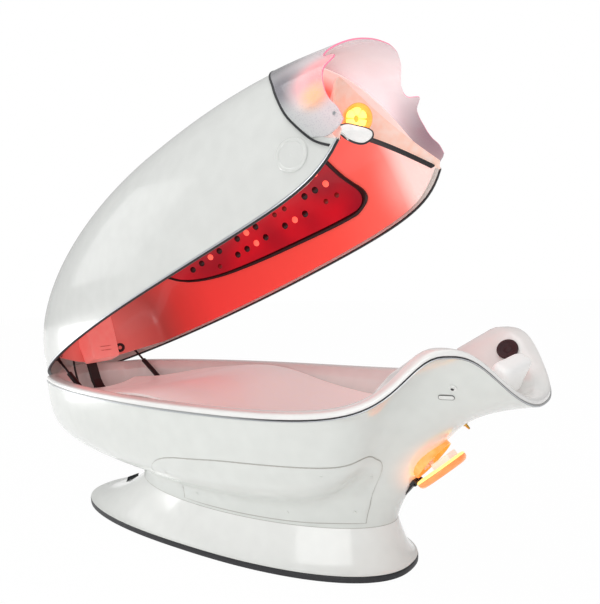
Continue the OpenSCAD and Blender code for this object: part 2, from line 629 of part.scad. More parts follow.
ear_t = 4;
module strut_clevises() {
    z0 = well(strut_low[0]) + 0.3;
    color("#c6c9cd") for (s = [-1, 1]) translate([strut_low[0], s * strut_y, 0]) {
        for (e = [-1, 1]) translate([0, e * (eye_w / 2 + 1 + ear_t / 2) + ear_t / 2, 0]) rotate([90, 0, 0])
            linear_extrude(ear_t) difference() {
                hull() {
                    translate([0, strut_low[1]]) circle(d = 28, $fn = 32);
                    translate([-24, z0 + 2]) square([48, 4]);
                }
                translate([0, strut_low[1]]) circle(r = 5, $fn = 48);
            }
        translate([-34, -24, z0]) cube([68, 48, 5]);
        translate([0, eye_w / 2 + ear_t + 3, strut_low[1]]) rotate([90, 0, 0])
            cylinder(r = 5, h = eye_w + 2 * ear_t + 6, $fn = 48);
    }
}

// Cable to the canopy: from a gland on the tub's floor to the canopy's liner
cable_path = [[-806, -88, 424], [-808, -88, 440], [-812, -88, 458], [-818, -89, 478], [-825, -91, 500],
    [-831, -93, 524], [-835, -96, 548], [-837, -99, 572], [-837, -102, 598], [-834, -105, 622],
    [-828, -107, 646], [-819, -108.5, 666], [-812.6, -109.4, 676.2]];
module canopy_cable() {
    color("#151517") tube(cable_path, 4.5, 8);
}

// Aroma unit under the head end

module aroma_cup() {
    color("#e9e6e2") at_door(-74) {
        difference() {
            cylinder(d = cup_d, h = 74, $fn = 64);
            translate([0, 0, 4]) cylinder(d = cup_d - 8, h = 80, $fn = 64);
        }
    }
}
module aroma_bulb() {
    color("#ffcf70") at_door(-70) {
        translate([-30, 0, 0]) cylinder(d = 26, h = 16, $fn = 32);
        translate([-30, 0, 16]) rotate_extrude($fn = 32) polygon([[0, 0], [8, 0], [13, 8], [15, 18], [13, 28], [7, 35],
            [0, 37]]);
    }
}
module aroma_cartridge() {
    color("#f4f2ee") at_door(-70) translate([26, 0, 0]) {
        translate([-18, -34, 0]) cube([36, 68, 62]);
        for (y = [-18, 18]) translate([0, y, 62]) cylinder(d = 20, h = 8, $fn = 32);
    }
}
door_axis = [96, 0, 4];
module aroma_hinge() {
    color("#1b1b1d") at_door(0) {
        difference() {
            union() {
                for (s = [-1, 1]) {
                    translate([door_axis[0], s * 22 + 5, door_axis[2]]) rotate([90, 0, 0])
                        cylinder(d = 14, h = 10, $fn = 48);
                    translate([door_axis[0] - 7, s * 22 - 5, -12]) cube([14, 10, 16]);
                }
                translate([door_axis[0] - 7, -27, -12]) cube([22, 54, 8]);
                translate([door_axis[0] + 7.5, -20, -5]) linear_extrude(7)
                    polygon([[0, 0], [44, 8], [62, 20], [44, 32], [0, 40]]);
            }
            translate([door_axis[0], 60, door_axis[2]]) rotate([90, 0, 0]) cylinder(r = 3 + run, h = 120, $fn = 48);
        }
    }
}
module aroma_door() {
    color("#f59a2e", 0.8) at_door(0) translate(door_axis) rotate([0, door_deg, 0]) translate(-door_axis) {
        difference() {
            union() {
                translate([0, 0, 4.5]) cylinder(d = door_d, h = door_t, $fn = 72);
                translate([door_axis[0] - 12, -15, 4.5]) cube([12, 30, 6]);
                translate([door_axis[0], 15, door_axis[2]]) rotate([90, 0, 0]) cylinder(d = 13, h = 30, $fn = 48);
            }
            translate([0, 0, 4.5 + 4]) cylinder(d = door_d - 16, h = door_t, $fn = 72);
        }
        translate([door_axis[0], 28, door_axis[2]]) rotate([90, 0, 0]) cylinder(r = 3, h = 56, $fn = 48);
    }
}

module air_nozzle() {
    color("#c79a45") at_frame(on_hull(6, 0.77)) {
        translate([0, 0, -6]) cylinder(d = 9, h = 18, $fn = 32);
        translate([0, 0, 0.4]) cylinder(d = 16, h = 5, $fn = 6);
        translate([0, 0, 12]) cylinder(d1 = 9, d2 = 6, h = 10, $fn = 32);
    }
}

// Canopy mouldings

function canopy_x(f, x0, x1) = mix(x0, x1, pow(f, 1.7) * 0.55 + f * 0.45);
function round_pts(m) = [for (j = [0 : m]) 180 * j / m];

module canopy_shell() {
    m = 24;
    function grid(d, n) = [for (i = [0 : n]) [for (a = round_pts(m))
        let (x0 = canopy_tail(d) + 0.4, x = canopy_x(i / n, x0, seam_x(a))) canopy_pt(x, a, d)]];
    color("#f4f4f2") opened() sheet_solid(grid(0, 26), grid(shell_t, 26));
}

liner_tail = -850;
// The inner moulding has its own, blunter tail, ahead of the hinge
function tail_at(d) = liner_tail + min(5, d - liner_in);
function liner_w(x, d) = canopy_w(x, d) * pow(clamp((x - tail_at(d)) / 190), 0.55);
function liner_top(x, d) = mix(rim_h(x) + flange_z + 12, crown_z(x, d), pow(clamp((x - tail_at(d)) / 330), 0.36));
// Low edge of the inner moulding, higher where the tub's hump comes near it
function liner_base(x) = rim_h(x) + flange_z + 10 + 8 * ease((x - 780) / 100);
function roof_pt(x, a, d) = let (zb = liner_base(x), z = liner_top(x, d))
    [x, liner_w(x, d) * power(cos(a), 2 / section_p), zb + max(1, z - zb) * power(sin(a), 2 / section_p)];
slot_w = 56;
function liner_end(a) = let (s = sin(a)) mix(905, 826, pow(s, 0.8));
module canopy_liner() {
    m = 20;
    function grid(d, n) = [for (i = [0 : n]) [for (a = round_pts(m))
        roof_pt(canopy_x(i / n, tail_at(d) + 1, liner_end(a)), a, d)]];
    // The slot lets the hinge's post through when the canopy is down
    color("#ee5a50") opened() difference() {
        sheet_solid(grid(liner_in, 20), grid(liner_in + 5, 20));
        translate([liner_tail - 20, -slot_w / 2, hinge_z - 80]) cube([58, slot_w, 200]);
    }
}

// Rubber seal round the rim of the canopy, down both sides and round the foot end
seal_t = 13;
module canopy_seal() {
    n = 64;
    function at(i, d, z) = let (
        f = abs(2 * i / n - 1),
        x = canopy_x(pow(f, 1.15), tail_x + d + 0.6, 916),
        s = i < n / 2 ? 1 : -1)
        [x, i == n / 2 ? 0 : s * canopy_w(x, d), rim_h(x) + flange_z + z];
    color("#29282b") opened() sheet_ring([for (i = [n : -1 : 0])
        [at(i, -1.5, 4), at(i, -2, -1), at(i, 2, -flange_z + flange_h + rest_gap), at(i, seal_t - 2, -flange_z + flange_h + rest_gap),
         at(i, seal_t, 2), at(i, seal_t - 3, 6), at(i, shell_t + 0.2, 0), at(i, 0.4, 0)]]);
}

// Solid along a row of closed sections, with flat ends
module sheet_ring(rows) {
    n = len(rows);
    m = len(rows[0]);
    polyhedron([for (r = rows) each r], concat(
        [for (i = [0 : n - 2]) for (j = [0 : m - 1])
            let (a = i * m + j, b = i * m + (j + 1) % m)
            each [[a, b, b + m], [a, b + m, a + m]]],
        [[for (j = [m - 1 : -1 : 0]) j]],
        [[for (j = [0 : m - 1]) (n - 1) * m + j]]), convexity = 10);
}

// Heater set into the inner moulding
function heater_low(x) = curve([[-500, 36], [-400, 24.5], [-264, 17.5], [-80, 13.7], [146, 11.5], [468, 9.6],
    [560, 10.5]], x);
function heater_head(a) = curve([[9, 590], [12, 616], [16, 606], [24, 560], [32, 532], [45, 512], [90, 500]], fold(a));
function heater_pt(f, g, d, o) = let (
    xa = mix(-510 + o, 560, f),
    a0 = heater_low(xa) + o * 0.13,
    a = mix(a0, 180 - a0, g),
    x = mix(-510 + o, heater_head(a) - o, f))
    roof_pt(x, a, d);
module heater_lens() {
    color("#b3122c", 0.9) opened() sheet_solid(
        [for (i = [0 : 14]) [for (j = [0 : 20]) heater_pt(i / 14, j / 20, liner_in + 9.5, 9.5)]],
        [for (i = [0 : 14]) [for (j = [0 : 20]) heater_pt(i / 14, j / 20, liner_in + 12.5, 9.5)]]);
}
module heater_bezel() {
    n = 14;
    m = 14;
    edge = concat([for (i = [0 : n - 1]) [i / n, 0]], [for (j = [0 : m - 1]) [1, j / m]],
        [for (i = [0 : n - 1]) [1 - i / n, 1]], [for (j = [0 : m - 1]) [0, 1 - j / m]]);
    function row(d, o) = [for (e = edge) heater_pt(e[0], e[1], d, o)];
    color("#241012") opened() ring_solid([row(liner_in + 7.5, -6), row(liner_in + 7.5, 9), row(liner_in + 15.5, 9),
        row(liner_in + 16.5, 2), row(liner_in + 13.5, -6)], true);
}

// Places on the heater for rows of round emitters and lamps
function dot_frame(x, a, d) = let (
    p = roof_pt(x, a, d),
    u = roof_pt(x + 4, a, d) - p,
    v = roof_pt(x, a + 1, d) - p,
    w = cross(u, v))
    [p, w / norm(w)];
module dot(x, a, d, dia, h) {
    f = dot_frame(x, a, d);
    w = f[1];
    translate(f[0]) rotate([0, acos(w[2]), atan2(w[1], w[0])]) translate([0, 0, -h / 2]) cylinder(d = dia, h = h, $fn = 20);
}
dot_angles = [20, 31, 43, 57, 73, 90, 107, 123, 137, 149, 160];
module ir_emitters() {
    color("#3a0a12") opened() for (i = [0 : 8]) for (j = [0 : len(dot_angles) - 1])
        if ((i + j) % 2 == 0 && (i > 1 || abs(j - 5) < 3 + i)) dot(-390 + 100 * i, dot_angles[j], liner_in + 13.2, 24, 4);
}
module red_leds() {
    color("#ff6a5e") opened() for (i = [0 : 8]) for (j = [0 : len(dot_angles) - 1])
        if ((i + j) % 2 == 1 && (i > 1 || abs(j - 5) < 3 + i)) dot(-390 + 100 * i, dot_angles[j], liner_in + 13.2, 18, 4);
}

// Visor: the canopy's own surface carried on to the front edge
module visor() {
    n = 9;
    half = [0.6, 3, 6, 10, 15, 20, 27, 32, 34.5, 36.4, 39.5, 43, 47, 51, 55, 60, 65, 70, 76, 83];
    angles = concat(half, [90], [for (j = [len(half) - 1 : -1 : 0]) 180 - half[j]]);
    function grid(d) = [for (i = [0 : n]) [for (a = angles)
        canopy_pt(mix(max(seam_x(a) - 14, visor_foot(a)), visor_x(a), i / n), a, d, 3)]];
    color("#d9cdd8", 0.5) opened() sheet_solid(grid(-visor_t - 0.7), grid(-0.7));
}
module visor_seam() {
    m = 48;
    function at(j, d, o) = let (a = mix(1, 179, j / m)) canopy_pt(seam_x(a) + o, a, d, 2);
    color("#2c2c30") opened() sheet_ring([for (j = [0 : m])
        [at(j, -0.3, -21), at(j, -visor_t - 1.7, -20), at(j, -visor_t - 1.7, -14.8), at(j, -0.3, -14.8)]]);
}
module visor_screws() {
    color("#b8babd") opened() for (a = [5.5, 174.5]) {
        p = canopy_pt(934, a, -visor_t, 3);
        translate(p) rotate([-90 * sign(p[1]), 0, 0]) cylinder(d = 9, h = 4, $fn = 24);
    }
}

// Panel above the face opening, hollow toward the face
module brow_panel() {
    m = 24;
    n = 8;
    function at(j, v, o) = let (
        y = -346 + 692 * j / m,
        a = arch_pt(y), b = brow_top(y * 0.975),
        k = 1 - pow(abs(y) / 352, 2))
        [mix(a[0], b[0], v) - 58 * sin(180 * pow(v, 0.8)) * k - o, mix(y, y * 0.975, v), mix(a[2], b[2], v)];
    color("#f7d9d4") opened() difference() {
        sheet_solid(
            [for (i = [0 : n]) [for (j = [0 : m]) at(j, i / n, 0)]],
            [for (i = [0 : n]) [for (j = [0 : m]) at(j, i / n, 5)]]);
        at_lamp() translate([0, 0, -60]) cylinder(d = lamp_d + 13, h = 130, $fn = 48);
    }
}
module arch_seal() {
    m = 40;
    function at(j, u, w) = let (p = arch_pt(-322 + 644 * j / m)) [p[0] + u, p[1], p[2] + w];
    color("#232226") opened() sheet_ring([for (j = [0 : m])
        [at(j, -10, -9.5), at(j, 5, -9.5), at(j, 7, -5.5), at(j, 5, -1), at(j, -10, -1)]]);
}
// White lip that runs from the near corner along the face opening
// Height that clears the ledge beside the head when the canopy is down
lip_z = 721;
module face_lip() {
    m = 16;
    function at(j, v, o) = let (
        f = j / m,
        y = mix(-298, -24, f),
        p = arch_pt(y),
        drop = 44 * pow(sin(180 * pow(f, 0.8)), 0.7),
        low = max(p[2] - 6 - drop, lip_z - max(0, 255 - abs(y))))
        [p[0] + 8 + 0.42 * drop * v + o, y, mix(p[2] + 6, low, v)];
    color("#f2f2f1") opened() sheet_solid(
        [for (i = [0 : 4]) [for (j = [0 : m]) at(j, i / 4, 0)]],
        [for (i = [0 : 4]) [for (j = [0 : m]) at(j, i / 4, 4)]]);
}

// Face lamp on the brow panel
lamp_at = [806, 0, 884];
lamp_tilt = 118;
module at_lamp() {
    translate(lamp_at) rotate([0, lamp_tilt, 0]) children();
}
module lamp_housing() {
    color("#ff9a4a") opened() at_lamp() rotate_extrude($fn = 64)
        polygon([[0, -30], [lamp_d * 0.28, -28], [lamp_d * 0.46, -14], [lamp_d / 2 + 5, 8], [lamp_d / 2 + 6, 16],
            [lamp_d / 2, 16], [lamp_d / 2 - 3, 6], [lamp_d * 0.4, -10], [0, -10]]);
}
module lamp_lens() {
    color("#ffe27a") opened() at_lamp() {
        translate([0, 0, -10]) cylinder(d = lamp_d * 0.72, h = 4, $fn = 64);
        translate([0, 0, -6]) cylinder(d = lamp_d * 0.2, h = 9, $fn = 48);
        for (i = [0 : 5]) rotate([0, 0, 60 * i + 30]) translate([lamp_d * 0.25, 0, -6])
            cylinder(d = lamp_d * 0.23, h = 8, $fn = 48);
    }
}

module emblem_boss() {
    f = [786, -386];
    p = canopy_pt(786, 171.3, 0);
    u = canopy_pt(790, 171.3, 0) - p;
    v = canopy_pt(786, 172.3, 0) - p;
    w = cross(v, u) / norm(cross(v, u));
    color("#e9eae9") opened() translate(p) rotate([0, acos(w[2]), atan2(w[1], w[0])]) rotate_extrude($fn = 72)
        polygon([[0, -1], [emblem_d / 2 - 2, -3], [emblem_d / 2, 0.5], [emblem_d / 2 - 3, 3], [emblem_d / 2 - 9, 3],
            [emblem_d / 2 - 12, 1.2], [0, 1.6]]);
}

// Hinge cover, arms and pin, which move with the canopy
cover = [100, 170];
cover_at = [-815, 570];
function roof_z(x, y) = let (d = liner_in + 5, zb = rim_h(x) + flange_z + 10, w = liner_w(x, d))
    zb + (liner_top(x, d) - zb) * pow(max(0, 1 - pow(abs(y) / w, section_p)), 1 / section_p);
module hinge_cover() {
    x0 = cover_at[0];
    x1 = x0 + cover[0];
    h = cover[1] / 2;
    color("#f08a84") opened() {
        for (s = [-1, 1]) translate([0, s * (h - 2) + 2, 0]) rotate([90, 0, 0]) linear_extrude(4)
            polygon(concat([[x0, cover_at[1]], [x1, cover_at[1]]],
                [for (i = [8 : -1 : 0]) let (x = mix(x0, x1, i / 8)) [x, roof_z(x, h) + 1.5]]));
        translate([x1, 0, 0]) rotate([90, 0, 270]) linear_extrude(4)
            polygon(concat([[h, cover_at[1]], [-h, cover_at[1]]],
                [for (i = [-6 : 6]) let (y = h * i / 6) [y, roof_z(x1 - 4, y) + 1.5]]));
        translate([x0 + 8, -h, cover_at[1]]) cube([cover[0] - 8, cover[1], 4]);
    }
}
arm_y = post_w / 2 + 1.5;
module hinge_arms() {
    color("#2a2b2e") opened() {
        for (s = [-1, 1]) difference() {
            translate([0, s * (arm_y + lug_t / 2) + lug_t / 2, 0]) rotate([90, 0, 0]) linear_extrude(lug_t)
                polygon(concat([[hinge_x - 20, hinge_z - 6], [hinge_x - 8, hinge_z - 19], [hinge_x + 10, hinge_z - 19],
                    [hinge_x + 60, hinge_z], [hinge_x + 132, hinge_z + 60]],
                    [for (i = [6 : -1 : 0]) let (x = mix(-812, -734, i / 6)) [x, roof_z(x, arm_y + lug_t) + 1.5]],
                    [[hinge_x - 10, hinge_z + 19], [hinge_x - 20, hinge_z + 6]]));
            translate([hinge_x, s * arm_y + 30, hinge_z]) rotate([90, 0, 0]) cylinder(r = pin_d / 2, h = 60, $fn = 64);
        }
        translate([hinge_x + 90, -arm_y - 1, hinge_z + 45]) cube([30, 2 * arm_y + 2, 12]);
    }
}
module hinge_pin() {
    l = 2 * (arm_y + lug_t) + 12;
    color("#d4d6d9") opened() translate([hinge_x, l / 2, hinge_z]) rotate([90, 0, 0]) {
        cylinder(d = pin_d, h = l, $fn = 64);
        translate([0, 0, -4]) cylinder(d = pin_d + 8, h = 4, $fn = 48);
        translate([0, 0, l]) cylinder(d = pin_d + 8, h = 4, $fn = 48);
    }
}
module strut_studs() {
    color("#d4d6d9") for (s = [-1, 1]) translate([strut_top[0], s * strut_y, strut_top[1]]) rotate([90, 0, 0]) {
        translate([0, 0, -s * 19 - 29]) cylinder(r = 5, h = 58, $fn = 48);
        translate([0, 0, s * (eye_w / 2 + 5) - 2]) cylinder(d = 24, h = 4, $fn = 48);
        translate([0, 0, -s * 39 - 9]) cylinder(d = 30, h = 18, $fn = 48);
    }
}
module vent_grommets() {
    color("#19191b") opened() for (f = [[-640, 176, 34], [-786, 9, 22]]) {
        w = dot_frame(f[0], f[1], liner_in + 5);
        d = w[1];
        translate(w[0]) rotate([0, acos(d[2]), atan2(d[1], d[0])]) rotate_extrude($fn = 48)
            polygon([[f[2] - 14, -2.5], [f[2], -2.5], [f[2], 2], [f[2] - 5, 5], [f[2] - 12, 3]]);
    }
}

floor_trim();
base_pan();
levelling_feet();
plinth_skirt();
lower_shell();
service_panel();
panel_screws();
rim_accent();
tub_liner();
bed_panel();
bed_mounts();
head_pillow();
speaker_near();
speaker_far();
pedestal_frame();
power_supply();
control_unit();
circulation_blower();
vibration_motors();
power_inlet();
rim_button();
button_bezel();
control_plate();
hinge_bracket();
bracket_bolts();
strut_clevises();
strut_cylinder_near();
strut_cylinder_far();
strut_rod_near();
strut_rod_far();
canopy_cable();
aroma_cup();
aroma_bulb();
aroma_cartridge();
aroma_hinge();
aroma_door();
air_nozzle();
canopy_shell();
canopy_liner();
canopy_seal();
heater_bezel();
heater_lens();
ir_emitters();
red_leds();
visor();
visor_seam();
visor_screws();
brow_panel();
face_lip();
arch_seal();
lamp_housing();
lamp_lens();
emblem_boss();
hinge_cover();
hinge_arms();
hinge_pin();
strut_studs();
vent_grommets();
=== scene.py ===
"""Infrared wellness pod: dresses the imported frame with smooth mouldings, glowing panels and finishes."""
import math

import bmesh
import bpy
from mathutils import Matrix, Vector


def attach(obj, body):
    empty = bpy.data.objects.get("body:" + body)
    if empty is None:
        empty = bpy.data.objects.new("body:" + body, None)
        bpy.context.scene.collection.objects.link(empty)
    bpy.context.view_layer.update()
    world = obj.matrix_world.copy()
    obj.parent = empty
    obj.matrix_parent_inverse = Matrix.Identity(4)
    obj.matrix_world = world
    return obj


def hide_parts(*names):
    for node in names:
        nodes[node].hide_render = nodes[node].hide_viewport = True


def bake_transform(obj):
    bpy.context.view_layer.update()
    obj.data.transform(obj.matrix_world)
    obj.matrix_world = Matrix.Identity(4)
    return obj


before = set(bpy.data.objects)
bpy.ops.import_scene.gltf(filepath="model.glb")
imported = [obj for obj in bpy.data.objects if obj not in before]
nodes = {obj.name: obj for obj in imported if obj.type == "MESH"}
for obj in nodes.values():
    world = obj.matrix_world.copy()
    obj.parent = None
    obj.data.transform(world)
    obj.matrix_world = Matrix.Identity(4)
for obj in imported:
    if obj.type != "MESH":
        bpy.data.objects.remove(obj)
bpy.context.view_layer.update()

MM = 0.001
scene = bpy.context.scene


def placed(name, data):
    """A new object in the scene."""
    obj = bpy.data.objects.new(name, data)
    scene.collection.objects.link(obj)
    return obj


# ---- Camera: the photograph was taken from beyond the head end, on the near side and above the rim

YAW, PITCH, ROLL = math.radians(35.4), math.radians(3.0), math.radians(-2.5)
FOCAL_PX, IMAGE_H, SENSOR = 605.6, 604, 36.0
ahead = Vector((-math.sin(YAW) * math.cos(PITCH), math.cos(YAW) * math.cos(PITCH), -math.sin(PITCH)))
level = Vector((math.cos(YAW), math.sin(YAW), 0))
upward = level.cross(ahead)
across = level * math.cos(ROLL) + upward * math.sin(ROLL)
above = upward * math.cos(ROLL) - level * math.sin(ROLL)
camera = placed("camera", bpy.data.cameras.new("camera"))
camera.data.sensor_width = SENSOR
camera.data.lens = FOCAL_PX * SENSOR / IMAGE_H
camera.data.clip_end = 60
camera.matrix_world = Matrix(((across.x, above.x, -ahead.x, 1.621), (across.y, above.y, -ahead.y, -1.749),
                              (across.z, above.z, -ahead.z, 0.982), (0, 0, 0, 1)))
scene.camera = camera


# ---- Shape functions, in millimetres, the same as the frame's

FLOOR_L, FLOOR_W, FLOOR_E, TRIM_H, TRIM_T = 780, 287, 0.851, 22, 14
WAIST_Z, WAIST_L, WAIST_W, WAIST_X = 149, 588, 227, 135
TUB_W, FOOT_L, HEAD_L, WIDE_X, HEAD_N = 438, 1200, 1042, 160, 2.54
RIM_Z, HUMP_H, HUMP_X, TAIL_IN = 546, 195, 1031, 60
FLANGE_H, ACCENT_H, FLANGE_Z, WELL_Z, SKIN = 24, 7, 28, 400, 8
CROWN_H, CROWN_X, CROWN_HEAD, SECTION = 575, 140, 1203, 2.35
SHELL_T, LINER_IN, LINER_T, LINER_TAIL, VISOR_T = 8, 34, 5, -850, 5
HINGE, OPEN_DEG = (-866, 0, 628.5), 21.13
TAIL_X = WIDE_X - FOOT_L
BED_T, PILLOW = 18, (250, 110, 62)
CUP_HOLE_R, BUTTON_HOLE_R, CABLE_R, PIPING_R = 75.5, 9.2, 4.5, 3.2
PANEL_T, PANEL_LOW, HEATER_X = (254, 334.5), 0.03, (-510, 560)
BELLY_V, ARCH_X, VISOR_LAP = 0.33, 835, 14
BUTTON_PLACE, PLATE_PLACE = (-25.2, 0.917), (-23.7, 0.88)  # angle and share of the height, on the hull


def mix(a, b, f):
    return a + (b - a) * f


def clamp(v):
    return max(0.0, min(1.0, v))


def ease(v):
    f = clamp(v)
    return f * f * (3 - 2 * f)


def power(v, e):
    return math.copysign(abs(v) ** e, v)


def sin(deg):
    return math.sin(math.radians(deg))


def cos(deg):
    return math.cos(math.radians(deg))


def curve(p, x):
    """Smooth curve through the points (x, y) of p, level beyond both ends."""
    i = 0
    while i < len(p) - 2 and x >= p[i + 1][0]:
        i += 1

    def slope(k):
        a, b = max(0, k - 1), min(len(p) - 1, k + 1)
        return (p[b][1] - p[a][1]) / (p[b][0] - p[a][0])

    h = p[i + 1][0] - p[i][0]
    f = clamp((x - p[i][0]) / h)
    return (p[i][1] * (2 * f ** 3 - 3 * f * f + 1) + slope(i) * h * (f ** 3 - 2 * f * f + f)
            + p[i + 1][1] * (3 * f * f - 2 * f ** 3) + slope(i + 1) * h * (f ** 3 - f * f))


def floor_ring(t, d, z):
    return (FLOOR_L - d) * power(cos(t), FLOOR_E), (FLOOR_W - d) * power(sin(t), FLOOR_E), z


def hump(x):
    d = abs(x - HUMP_X)
    if x < HUMP_X:
        return HUMP_H / (1 + (d / 131) ** 2.28)
    return HUMP_H * (1.439 / (1 + (d / 155.3) ** 2.93) - 0.439)


def rim_h(x):
    return RIM_Z + hump(x)


def oval(t, foot, head, w, n):
    if cos(t) < 0:
        return foot * cos(t), w * sin(t)
    return head * power(cos(t), 2 / n), w * power(sin(t), 2 / n)


def rim_xy(t, d):
    p = oval(t, FOOT_L, HEAD_L, TUB_W, HEAD_N)
    e = d + TAIL_IN * ease((TAIL_X + 240 - p[0] - WIDE_X) / 130)
    q = oval(t, FOOT_L - e, HEAD_L - d, TUB_W - e, HEAD_N)
    return q[0] + WIDE_X, q[1]


def rim_at(t):
    return rim_h(rim_xy(t, 0)[0])


def rim_pt(t, d, z):
    return *rim_xy(t, d), rim_at(t) + z


def waist_xy(t, d):
    return WAIST_X + (WAIST_L - d) * cos(t), (WAIST_W - d) * sin(t)


def skirt_pt(t, v, d):
    a, b = floor_ring(t, 1.5 + d, 0), waist_xy(t, d)
    return mix(a[0], b[0], v), mix(a[1], b[1], v), mix(TRIM_H, WAIST_Z, v ** 1.75) - d * 1.1 * sin(180 * v)


def belly_share(t, v):
    f, g = (v / BELLY_V) ** 4 if v > 0 else 0.0, (1 / BELLY_V) ** 4
    belly = f / (1 + f) * (1 + g) / g
    scoop = 0.646 * v ** 1.32 + 0.354 * v ** 11.35 if v > 0 else 0.0
    return mix(belly, scoop, max(0.0, cos(t)) ** 1.5)


def hull_pt(t, v, d):
    a, b, f = waist_xy(t, d), rim_xy(t, d), belly_share(t, v)
    return mix(a[0], b[0], f), mix(a[1], b[1], f), mix(WAIST_Z, rim_at(t), v) + d * sin(180 * v)


def well(x):
    return curve([(-930, WELL_Z + 50), (-870, WELL_Z + 34), (-810, WELL_Z + 14), (-690, WELL_Z + 14),
                  (-655, WELL_Z), (-640, WELL_Z), (560, WELL_Z), (610, WELL_Z + 1), (705, WELL_Z + 28),
                  (822, WELL_Z + 90), (909, WELL_Z + 130)], x)


def floor_share(t):
    return curve([(0, 0.47), (10, 0.43), (20, 0.365), (30, 0.31), (40, 0.345), (50, 0.46), (60, 0.59),
                  (75, 0.76), (90, 0.84), (180, 0.86)], 360 - t if t > 180 else t)


def wall_pt(t, f, o):
    a, b, rim = waist_xy(t, 30 - o), rim_xy(t, 56 - o), rim_at(t)
    low = well(mix(a[0], b[0], floor_share(t)))
    z = mix(rim + FLANGE_H - 8, low, 1 - (1 - f) ** 1.8)
    h = min(mix(1, floor_share(t), f), belly_share(t, (z - WAIST_Z) / (rim - WAIST_Z)) - 0.06)
    return mix(a[0], b[0], h), mix(a[1], b[1], h), z - o * f


def bed_z(x):
    return curve([(-720, 497), (-560, 512), (-320, 556), (-80, 592), (60, 570), (260, 490), (430, 462),
                  (600, 468), (760, 508), (880, 564), (935, 590)], x)


def bed_w(x):
    return curve([(-720, 140), (-640, 168), (-570, 180), (-520, 206), (-400, 290), (-80, 345), (200, 352),
                  (400, 338), (600, 278), (730, 188), (840, 122), (935, 74)], x)


def bed_rise(x):
    return curve([(-720, 8), (-400, 0), (-80, -24), (60, -14), (260, 20), (430, 26), (935, 26)], x)


def crown_z(x, d):
    u = clamp((CROWN_X - x) / (CROWN_X - TAIL_X) if x < CROWN_X else (x - CROWN_X) / CROWN_HEAD)
    m = 1.886 if x < CROWN_X else 2.4
    return RIM_Z + FLANGE_Z + CROWN_H * (1 - u ** m) ** (1 / m) - d


def canopy_w(x, d):
    u = clamp((WIDE_X - x) / (FOOT_L - d) if x < WIDE_X else (x - WIDE_X) / 1046)
    n = 2 if x < WIDE_X else 2.65
    return (TUB_W - d) * (1 - u ** n) ** (1 / n)


def canopy_pt(x, a, d, lift=0.0):
    zb = rim_h(x) + FLANGE_Z + lift
    return (x, canopy_w(x, d) * power(cos(a), 2 / SECTION),
            zb + max(0.5, crown_z(x, d) - zb) * power(sin(a), 2 / SECTION))


def fold(a):
    return min(a, 180 - a)


def seam_x(a):
    return curve([(0, 917), (3, 897), (7.2, 873), (14.8, 843), (22.7, 817), (35.2, 792), (42.6, 779),
                  (55, 751), (70, 728), (90, 716)], fold(a))


def visor_x(a):
    return curve([(0.6, 950), (6, 946), (13, 932), (20, 926), (32, 932), (36.4, 966), (43, 929), (50, 933),
                  (57, 957), (64, 983), (72, 1004), (80, 1019), (90, 1029)], fold(a))


def visor_foot(a):
    return curve([(0.6, 941), (3, 900), (7.2, 862), (12, 800), (20, 640)], fold(a))


def arch_pt(y):
    k = (abs(y) / 350) ** 2.6
    return ARCH_X + 85 * k, y, 807 - 126 * k


def brow_top(y):
    k = abs(y) / 338
    return ARCH_X + 95 * k ** 1.7, y, 1024 - 314 * (math.sqrt(k * k + 0.01) - 0.1) / 0.905


def canopy_x(f, x0, x1):
    return mix(x0, x1, f ** 1.7 * 0.55 + f * 0.45)


def tail_at(d):
    return LINER_TAIL + min(5, d - LINER_IN)


def roof_w(x, d):
    return canopy_w(x, d) * clamp((x - tail_at(d)) / 190) ** 0.55


def roof_pt(x, a, d):
    zb = rim_h(x) + FLANGE_Z + 10 + 8 * ease((x - 780) / 100)
    top = mix(rim_h(x) + FLANGE_Z + 12, crown_z(x, d), clamp((x - tail_at(d)) / 330) ** 0.36)
    return x, roof_w(x, d) * power(cos(a), 2 / SECTION), zb + max(1, top - zb) * power(sin(a), 2 / SECTION)


def liner_end(a):
    return mix(905, 826, sin(a) ** 0.8)


def heater_low(x):
    """Angle of the heater's long edge."""
    return curve([(-500, 36), (-400, 24.5), (-264, 17.5), (-80, 13.7), (146, 11.5), (468, 9.6), (560, 10.5)], x)


def heater_head(a):
    """Place of the heater's head end."""
    return curve([(9, 590), (12, 616), (16, 606), (24, 560), (32, 532), (45, 512), (90, 500)], fold(a))


def heater_pt(f, g, d, o):
    """Point of the heater panel: f from foot to head, g from side to side, o in from its edge."""
    a0 = heater_low(mix(HEATER_X[0] + o, HEATER_X[1], f)) + o * 0.13
    a = mix(a0, 180 - a0, g)
    return roof_pt(mix(HEATER_X[0] + o, heater_head(a) - o, f), a, d)


def opened(p):
    """Turns a point of the closed canopy to its photographed place."""
    x, z = p[0] - HINGE[0], p[2] - HINGE[2]
    c, s = cos(OPEN_DEG), sin(OPEN_DEG)
    return HINGE[0] + x * c - z * s, p[1], HINGE[2] + x * s + z * c


def on_hull(t, v):
    """Point of the hull and the direction that stands on it."""
    p, a, b = (Vector(hull_pt(*place, 0)) for place in ((t, v), (t + 1, v), (t, v + 0.01)))
    return p, (a - p).cross(b - p).normalized()


def standing(p, n):
    """Matrix at p whose Z axis points along n."""
    return move(p) @ Vector(n).to_track_quat("Z", "Y").to_matrix().to_4x4()


def tilt(deg):
    return Matrix.Rotation(math.radians(deg), 4, "Y")


